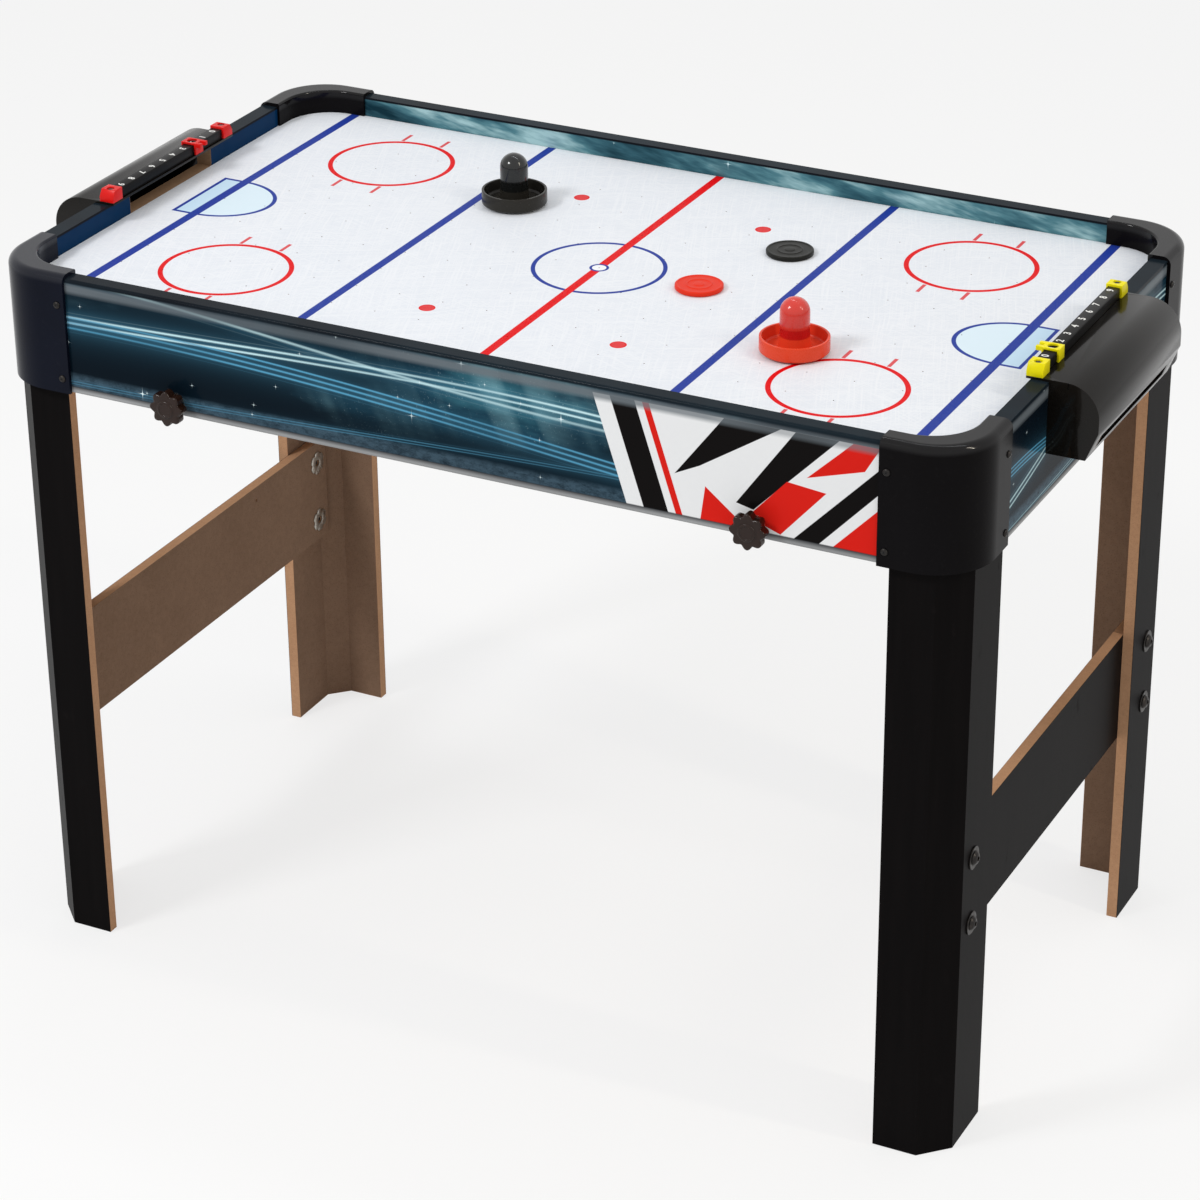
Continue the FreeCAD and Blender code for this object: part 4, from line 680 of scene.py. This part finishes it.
inks = {
    "rink": rinkPrint(),
    "front": apronPrint("frontApronPrint", "x", longSweeps, True, 1.7, -0.44),
    "back": apronPrint("backApronPrint", "x", longSweeps[::-1], False, 6.3, -0.40),
    "end": apronPrint("endApronPrint", "y", endSweeps, False, 11.9, -0.66),
    "cap": moulded("capMoulding", (0.0036, 0.0030, 0.0031), 0.16, 700.0, 0.04, (0.0052, 0.0046, 0.0056),
                   0.008, gloss=(0.34, 0.7725)),
    # the front-left cap's copy of the cap moulding is bluer, as a painted cool reflection
    "capPaintedCoolReflection": moulded("capMouldingPaintedCoolReflection", (0.0034, 0.0042, 0.0085), 0.14, 700.0, 0.06, (0.005, 0.007, 0.016),
                       0.008, gloss=(0.38, 0.7725)),
    "hood": moulded("hoodMoulding", (0.0050, 0.0042, 0.0035), 0.16, 650.0, 0.05, (0.0085, 0.0068, 0.0050),
                    0.008, 0.5545, (0.28, 0.70)),
    "bar": moulded("barMoulding", (0.0050, 0.0046, 0.0046), 0.28, 900.0, 0.08),
    "knob": moulded("knobMoulding", (0.0120, 0.0055, 0.0038), 0.16, 600.0, 0.26, (0.024, 0.010, 0.006)),
    "yellow": moulded("yellowMoulding", (0.90, 0.80, 0.003), 0.28, 800.0, 0.12, (0.82, 0.71, 0.002)),
    "red": moulded("redMoulding", (0.74, 0.010, 0.008), 0.26, 800.0, 0.16, (0.66, 0.008, 0.006)),
    "puckRed": moulded("puckRedMoulding", (0.78, 0.036, 0.012), 0.36, 900.0, 0.10, (0.70, 0.026, 0.009)),
    # the red pusher's bands are painted: a darker red painted shade on the neck, and a brighter orange
    # painted light on the cup below the rim
    "pusherRed": moulded("pusherRedMoulding", (0.68, 0.042, 0.028), 0.24, 900.0, 0.18, (0.62, 0.034, 0.022),
                         gloss=(0.6, 0.7815),
                         bands=[(0.7812, (0.56, 0.013, 0.012)), (0.7722, (0.76, 0.062, 0.022))]),
    # the black pusher's warm grey band below the rim is a painted reflection of its satin cup
    "pusherBlack": moulded("pusherBlackMoulding", (0.0060, 0.0065, 0.0062), 0.22, 900.0, 0.18,
                           gloss=(0.6, 0.7815), bands=[(0.7722, (0.022, 0.020, 0.0165))]),
    "puckBlack": moulded("puckBlackMoulding", (0.0085, 0.0085, 0.0070), 0.32, 900.0, 0.12),
    "rocker": moulded("rockerMoulding", (0.0060, 0.0060, 0.0065), 0.42, 1200.0, 0.25),
    "leg": laminated("legBoard", legSkin, legSawn),
    "panel": laminated("crossPanelBoard", panelSkin, panelSawn),
    "hardboard": rawBoard("plenumHardboard", (0.26, 0.165, 0.10), (0.16, 0.098, 0.06)),
    "woodX": sawnWood("sawnWoodAlong", "x"),
    "woodY": sawnWood("sawnWoodAcross", "y"),
    "zinc": metal("zincPlate", (0.56, 0.54, 0.49), 0.26, (0.30, 0.25, 0.19)),
    "blackSteel": metal("blackScrewSteel", (0.030, 0.028, 0.027), 0.30, (0.060, 0.050, 0.042)),
    "felt": felted("glidePadFelt", (0.16, 0.16, 0.165)),
    "lead": moulded("leadSheath", (0.012, 0.012, 0.012), 0.45, 1200.0, 0.3),
    "ink": moulded("whiteInk", (0.82, 0.82, 0.80), 0.45, 1500.0, 0.2, (0.74, 0.74, 0.72)),
}

worn = {
    "rink": ["playfield"], "front": ["front_apron"], "back": ["back_apron"],
    "end": ["left_end_apron", "right_end_apron"],
    "cap": ["corner_cap_front_right", "corner_cap_back_right", "corner_cap_back_left"],
    "capPaintedCoolReflection": ["corner_cap_front_left"],
    "hood": ["goal_hood_left", "goal_hood_right"],
    "bar": ["score_bar_left", "score_bar_right", "fan_frame", "fan_guard", "fan_impeller",
            "switch_bezel", "power_inlet", "lead_clip"],
    "yellow": ["score_clips_right", "score_slider_right"],
    "red": ["score_clips_left", "score_slider_left"],
    "pusherRed": ["pusher_right"], "puckRed": ["puck_red"],
    "pusherBlack": ["pusher_left"], "puckBlack": ["puck_black"],
    "rocker": ["switch_rocker"],
    "leg": [f"leg_{face}_{side}" for face in faces for side in sides],
    "knob": [f"star_knob_{face}_{side}" for face in faces for side in sides],
    "panel": ["cross_panel_left", "cross_panel_right"],
    "hardboard": ["plenum_floor"], "woodX": ["corner_blocks", "plenum_battens"],
    "woodY": ["cross_bearers", "plenum_ribs"],
    "zinc": ["leg_bolts", "panel_t_nuts", "knob_washers", "bearer_inserts", "fan_screws", "fan_motor"]
            + [f"knob_stud_{face}_{side}" for face in faces for side in sides],
    "blackSteel": ["cap_screws", "panel_bolts", "panel_washers", "clip_screws"],
    "felt": ["pusher_pad_left", "pusher_pad_right"], "lead": ["fan_leads"],
}
for ink, names in worn.items():
    for name in names:
        for holder in nodes[name].material_slots:
            holder.material = inks[ink]
print("finishes made:", len(inks))


# Pieces
# end a shape as an object at the origin that rides on its body
def makePiece(name, shape, body, ink, replaced=(), smooth=35):
    bmesh.ops.remove_doubles(shape, verts=shape.verts, dist=1e-6)
    bmesh.ops.recalc_face_normals(shape, faces=shape.faces)
    mesh = bpy.data.meshes.new(name)
    shape.to_mesh(mesh)
    shape.free()
    mesh.shade_smooth()
    mesh.set_sharp_from_angle(angle=math.radians(smooth))
    mesh.materials.append(inks[ink])
    piece = bpy.data.objects.new(name, mesh)
    scene.collection.objects.link(piece)
    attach(piece, body)
    if replaced:
        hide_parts(*replaced)
    return piece


# round every edge that turns more than an angle
def soften(shape, width, segments=2, angle=30):
    sharp = [edge for edge in shape.edges
             if len(edge.link_faces) == 2 and edge.calc_face_angle(0.0) > math.radians(angle)]
    bmesh.ops.bevel(shape, geom=sharp, offset=width, offset_type="OFFSET", segments=segments,
                    profile=0.5, affect="EDGES", clamp_overlap=True, material=-1)


# a CAD node's own form with its loose triangles joined, for a piece with rounded edges
def joinedCopy(name):
    shape = bmesh.new()
    shape.from_mesh(nodes[name].data)
    bmesh.ops.remove_doubles(shape, verts=shape.verts, dist=2e-6)
    bmesh.ops.dissolve_limit(shape, angle_limit=math.radians(0.5), verts=shape.verts, edges=shape.edges)
    return shape


# turn corners of (radius, height) once round the Z axis
def turned(corners, steps=64):
    shape = bmesh.new()
    points = [shape.verts.new((radius, 0.0, height)) for radius, height in corners]
    for start, end in zip(points, points[1:]):
        shape.edges.new((start, end))
    bmesh.ops.spin(shape, geom=shape.verts[:] + shape.edges[:], cent=(0, 0, 0), axis=(0, 0, 1),
                   angle=math.tau, steps=steps, use_merge=True)
    bmesh.ops.remove_doubles(shape, verts=shape.verts, dist=1e-6)
    bmesh.ops.recalc_face_normals(shape, faces=shape.faces)
    return shape


# add one shape to another, once for each matrix
def addCopies(target, source, places):
    mesh = bpy.data.meshes.new("copied")
    source.to_mesh(mesh)
    for place in places:
        before = len(target.verts)
        target.from_mesh(mesh)
        target.verts.ensure_lookup_table()
        bmesh.ops.transform(target, matrix=place, verts=target.verts[before:])
    bpy.data.meshes.remove(mesh)
    source.free()


pusherShape = {
    "field": 0.7543, "radius": 35.0, "rim": 17.0, "wall": 2.6, "foot": 1.6, "pad": 1.5, "floor": 4.1,
    "neckFoot": 16.5, "neck": 14.5, "gripLow": 27.0, "grip": 15.0, "high": 57.0,
}


def pusherForm():
    s = pusherShape
    dome = s["high"] - s["grip"]
    corners = [(0.0, s["pad"]), (s["radius"] - s["foot"], s["pad"]), (s["radius"], s["pad"] + s["foot"]),
               (s["radius"], s["rim"]), (s["radius"] - s["wall"], s["rim"]),
               (s["radius"] - s["wall"] - 0.8, s["floor"] + 2.0), (s["radius"] - s["wall"] - 2.6, s["floor"]),
               (s["neckFoot"] + 1.2, s["floor"]), (s["neckFoot"] - 0.1, s["floor"] + 1.4),
               (s["neck"] - 0.1, s["gripLow"] - 0.9), (s["grip"] - 0.2, s["gripLow"]),
               (s["grip"], s["gripLow"] + 0.8), (s["grip"], dome)]
    steps = 9
    for step in range(1, steps + 1):
        turn = math.pi / 2 * step / steps
        corners.append((max(0.0, s["grip"] * math.cos(turn)), dome + s["grip"] * math.sin(turn)))
    shape = turned([(r * mm, h * mm) for r, h in corners], 72)
    soften(shape, 0.5 * mm, 3, 34)
    return shape


def makePushers():
    for side, ink, slot in (("left", "pusherBlack", "black_plastic"), ("right", "pusherRed", "red_plastic")):
        low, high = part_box(f"pusher_{side}")
        middle = ((low[0] + high[0]) / 2, (low[1] + high[1]) / 2, pusherShape["field"])
        whole = bmesh.new()
        addCopies(whole, pusherForm(), [Matrix.Translation(middle)])
        makePiece(f"pusherBody_{side}", whole, f"pusher_{side}_hand", ink, [f"pusher_{side}"], 40)


puckShape = {
    "radius": 25.0, "thick": 5.0, "rim": 22.4, "sunk": 0.6, "ring": 12.6, "ringWide": 1.5, "button": 5.2,
}


def puckForm():
    s = puckShape
    top, sunk = s["thick"], s["thick"] - s["sunk"]
    corners = [(0.0, 0.0), (s["radius"] - 0.9, 0.0), (s["radius"], 0.9), (s["radius"], top - 0.9),
               (s["radius"] - 0.9, top), (s["rim"], top), (s["rim"] - 0.8, sunk),
               (s["ring"] + s["ringWide"] / 2 + 0.4, sunk), (s["ring"] + s["ringWide"] / 2, top - 0.1),
               (s["ring"] - s["ringWide"] / 2, top - 0.1), (s["ring"] - s["ringWide"] / 2 - 0.4, sunk),
               (s["button"] + 0.6, sunk), (s["button"], top - 0.1), (0.0, top - 0.1)]
    shape = turned([(r * mm, h * mm) for r, h in corners], 72)
    soften(shape, 0.26 * mm, 2, 30)
    return shape


def makePucks():
    for colour, ink, slot in (("black", "puckBlack", "black_plastic"), ("red", "puckRed", "red_plastic")):
        low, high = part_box(f"puck_{colour}")
        middle = ((low[0] + high[0]) / 2, (low[1] + high[1]) / 2, low[2])
        whole = bmesh.new()
        addCopies(whole, puckForm(), [Matrix.Translation(middle)])
        makePiece(f"puckDisc_{colour}", whole, f"{colour}_puck", ink, [f"puck_{colour}"], 40)


knobShape = {
    "x": 0.320, "z": 0.665, "seat": 0.31185, "neck": 9.5, "neckLong": 6.0, "head": 18.9, "dip": 3.9,
    "lobes": 8, "thick": 12.0, "disc": 9.4, "discHigh": 1.5,
}


def knobForm():
    s = knobShape
    shape = bmesh.new()
    bmesh.ops.create_circle(shape, cap_ends=True, segments=96, radius=s["head"] * mm)
    for point in shape.verts:
        turn = math.atan2(point.co.y, point.co.x)
        swell = (0.5 + 0.5 * math.cos(turn * s["lobes"])) ** 0.75
        point.co *= 1 - (1 - swell) * s["dip"] / s["head"]
    grown = bmesh.ops.extrude_face_region(shape, geom=shape.faces[:])["geom"]
    tops = [part for part in grown if isinstance(part, bmesh.types.BMVert)]
    bmesh.ops.translate(shape, vec=(0, 0, s["thick"] * mm), verts=tops)
    bmesh.ops.recalc_face_normals(shape, faces=shape.faces)
    soften(shape, 1.9 * mm, 4, 60)
    bmesh.ops.translate(shape, vec=(0, 0, s["neckLong"] * mm), verts=shape.verts)
    top = s["neckLong"] + s["thick"]
    neck = turned([(r * mm, h * mm) for r, h in (
        (0.0, 0.0), (s["neck"] - 0.6, 0.0), (s["neck"], 0.6), (s["neck"] - 0.3, s["neckLong"] - 1.2),
        (s["neck"] + 1.4, s["neckLong"] + 0.6), (0.0, s["neckLong"] + 0.6))], 48)
    disc = turned([(r * mm, h * mm) for r, h in (
        (0.0, top - 0.8), (s["disc"] + 1.6, top - 0.8), (s["disc"] + 1.2, top + 0.1),
        (s["disc"], top + 0.3), (s["disc"] - 0.4, top + s["discHigh"] - 0.3),
        (s["disc"] - 0.9, top + s["discHigh"]), (s["disc"] - 2.6, top + s["discHigh"]),
        (s["disc"] - 3.2, top + s["discHigh"] - 0.6), (0.0, top + s["discHigh"] - 0.6))], 48)
    addCopies(shape, neck, [Matrix.Identity(4)])
    addCopies(shape, disc, [Matrix.Identity(4)])
    return shape


def makeKnobs():
    for face, sy in faces.items():
        for side, sx in sides.items():
            place = facing((sx * knobShape["x"], sy * knobShape["seat"], knobShape["z"]), (0, sy, 0))
            whole = bmesh.new()
            addCopies(whole, knobForm(), [place])
            makePiece(f"starKnob_{face}_{side}", whole, f"knob_{face}_{side}", "knob",
                      [f"star_knob_{face}_{side}"], 45)


scoreShape = {
    "x": 0.5205, "top": 0.7895, "pitch": 0.020, "digit": 0.0105, "raised": 0.00012, "bolder": 0.00028,
}


# white numbers, read from outside the end they stand at
def makeNumbers():
    s = scoreShape
    for side, sx in sides.items():
        whole = bmesh.new()
        for digit in range(10):
            words = bpy.data.curves.new("digit", "FONT")
            words.body = str(digit)
            words.size = s["digit"]
            words.align_x, words.align_y = "CENTER", "CENTER"
            words.extrude = s["raised"] / 2
            words.offset = s["bolder"]
            words.resolution_u = 3
            holder = bpy.data.objects.new("digit", words)
            scene.collection.objects.link(holder)
            bpy.context.view_layer.update()
            mesh = bpy.data.meshes.new_from_object(holder)
            before = len(whole.verts)
            whole.from_mesh(mesh)
            whole.verts.ensure_lookup_table()
            y = sx * (digit - 4.5) * s["pitch"]
            place = Matrix(((0, -sx, 0, sx * s["x"]), (sx, 0, 0, y), (0, 0, 1, s["top"]), (0, 0, 0, 1)))
            bmesh.ops.transform(whole, matrix=place, verts=whole.verts[before:])
            bpy.data.objects.remove(holder)
            bpy.data.meshes.remove(mesh)
            bpy.data.curves.remove(words)
        makePiece(f"scoreNumbers_{side}", whole, "table", "ink", (), 30)


# pieces that keep the CAD form and get moulded, rounded edges
rounded = {
    # CAD node: piece, body, finish, rounding in mm, segments, slot
    "score_bar_left": ("scoreBar_left", "table", "bar", 0.9, 3, "black_moulding"),
    "score_bar_right": ("scoreBar_right", "table", "bar", 0.9, 3, "black_moulding"),
    "score_clips_left": ("scoreClips_left", "table", "red", 1.2, 3, "red_plastic"),
    "score_clips_right": ("scoreClips_right", "table", "yellow", 1.2, 3, "yellow_plastic"),
    "score_slider_left": ("scoreSlider_left", "score_marker_left", "red", 0.6, 2, "red_plastic"),
    "score_slider_right": ("scoreSlider_right", "score_marker_right", "yellow", 0.6, 2, "yellow_plastic"),
    "goal_hood_left": ("goalHood_left", "table", "hood", 0.8, 3, "black_moulding"),
    "goal_hood_right": ("goalHood_right", "table", "hood", 0.8, 3, "black_moulding"),
}


def makeRounded():
    for name, (piece, body, ink, width, segments, slot) in rounded.items():
        shape = joinedCopy(name)
        soften(shape, width * mm, segments, 32)
        makePiece(piece, shape, body, ink, [name], 40)


boltShape = {
    "x": 0.529, "washer": 12.0, "washerThick": 1.5, "head": 7.5, "headHigh": 4.0, "socket": 2.6,
    "inner": 0.505, "flange": 14.0, "plate": 1.2, "teeth": 6, "bite": 0.17, "bore": 4.2, "y": 0.2505,
}


def panelSpots():
    low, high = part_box("panel_bolts")
    rise = (low[2] + high[2]) / 2
    apart = (high[2] - low[2]) / 2 - boltShape["head"] * mm
    return [(y, z) for y in (-boltShape["y"], boltShape["y"]) for z in (rise - apart, rise + apart)]


def domedHead(s):
    return turned([(r * mm, h * mm) for r, h in (
        (0.0, -3.0), (3.0, -3.0), (3.0, -0.01), (s["head"] - 0.2, 0.0), (s["head"], 0.4),
        (s["head"] - 0.6, 1.7), (s["head"] - 1.9, 3.0), (s["head"] - 3.4, 3.8),
        (s["socket"] + 0.4, s["headHigh"]), (s["socket"], s["headHigh"] - 0.4), (s["socket"], 1.6),
        (0.0, 1.6))], 48)


def makeFasteners():
    s = boltShape
    spots = panelSpots()
    outside = [facing((sx * s["x"], y, z), (sx, 0, 0)) for sx in sides.values() for y, z in spots]
    inside = [facing((sx * s["inner"], y, z), (-sx, 0, 0)) for sx in sides.values() for y, z in spots]

    washers = bmesh.new()
    plate = turned([(r * mm, h * mm) for r, h in (
        (3.0, 0.0), (s["washer"] - 0.2, 0.0), (s["washer"], 0.25), (s["washer"], s["washerThick"] - 0.4),
        (s["washer"] - 0.5, s["washerThick"]), (3.0, s["washerThick"]), (3.0, 0.0))], 56)
    addCopies(washers, plate, outside)
    makePiece("panelWashers", washers, "table", "blackSteel", ["panel_washers"], 30)

    bolts = bmesh.new()
    raised = [place @ Matrix.Translation((0, 0, s["washerThick"] * mm)) for place in outside]
    addCopies(bolts, domedHead(s), raised)
    tip = turned([(r * mm, h * mm) for r, h in (
        (0.0, -4.0), (2.9, -4.0), (2.9, -1.1), (2.3, -0.6), (0.0, -0.6))], 32)
    addCopies(bolts, tip, inside)
    makePiece("panelBolts", bolts, "table", "blackSteel", ["panel_bolts"], 40)

    nuts = bmesh.new()
    flange = bmesh.new()
    bmesh.ops.create_circle(flange, cap_ends=False, segments=64, radius=s["flange"] * mm)
    for point in flange.verts:
        turn = math.atan2(point.co.y, point.co.x)
        bite = max(0.0, math.cos(turn * s["teeth"])) ** 2
        point.co *= 1 - s["bite"] * bite
    rim = flange.edges[:]
    grown = bmesh.ops.extrude_edge_only(flange, edges=rim)["geom"]
    inner = [part for part in grown if isinstance(part, bmesh.types.BMVert)]
    for point in inner:
        point.co = point.co.normalized() * s["bore"] * mm
    bmesh.ops.recalc_face_normals(flange, faces=flange.faces)
    bmesh.ops.solidify(flange, geom=flange.faces[:], thickness=s["plate"] * mm)
    lowest = min(point.co.z for point in flange.verts)
    bmesh.ops.translate(flange, vec=(0, 0, -lowest), verts=flange.verts)
    bmesh.ops.recalc_face_normals(flange, faces=flange.faces)
    soften(flange, 0.25 * mm, 2, 50)
    addCopies(nuts, flange, inside)
    makePiece("panelTeeNuts", nuts, "table", "zinc", ["panel_t_nuts"], 35)


capScrewShape = {
    "head": 3.75, "high": 2.0, "crossLong": 2.1, "crossWide": 0.45, "crossDeep": 0.9, "turn": 0.4,
    "rises": (0.667, 0.748), "longFace": (0.453, 0.314), "endFace": (0.539, 0.228),
}


# pan heads, with near-black bars on top as the painted shade of a cross driven into them
def makeCapScrews():
    s = capScrewShape
    longX, longY = s["longFace"]
    endX, endY = s["endFace"]
    places = []
    for z in s["rises"]:
        for sx in sides.values():
            for sy in faces.values():
                places.append(facing((sx * longX, sy * longY, z), (0, sy, 0)))
                places.append(facing((sx * endX, sy * endY, z), (sx, 0, 0)))
    head = turned([(r * mm, h * mm) for r, h in (
        (0.0, -1.0), (1.7, -1.0), (1.7, 0.0), (s["head"], 0.0), (s["head"], 0.5), (s["head"] - 0.4, 1.3),
        (s["head"] - 1.4, 1.85), (0.0, s["high"]))], 24)
    whole = bmesh.new()
    addCopies(whole, head, places)
    makePiece("capScrewHeads", whole, "table", "blackSteel", ["cap_screws"], 40)
    # the crosses are thin near-black bars standing just proud of the heads, as painted shade where a real
    # cross is sunk
    crossShades = bmesh.new()
    for turn in (0, math.pi / 2):
        bar = bmesh.new()
        bmesh.ops.create_cube(bar, size=1.0)
        bmesh.ops.scale(bar, vec=(s["crossLong"] * 2 * mm, s["crossWide"] * 2 * mm, s["crossDeep"] * mm),
                        verts=bar.verts)
        bmesh.ops.translate(bar, vec=(0, 0, (s["high"] - s["crossDeep"] / 2 + 0.02) * mm), verts=bar.verts)
        spin = Matrix.Rotation(turn + s["turn"], 4, "Z")
        addCopies(crossShades, bar, [place @ spin for place in places])
    makePiece("capScrewCrossShades", crossShades, "table", "rocker", (), 30)


makePushers()
makePucks()
makeKnobs()
makeRounded()
makeNumbers()
makeFasteners()
makeCapScrews()
print("pieces made")
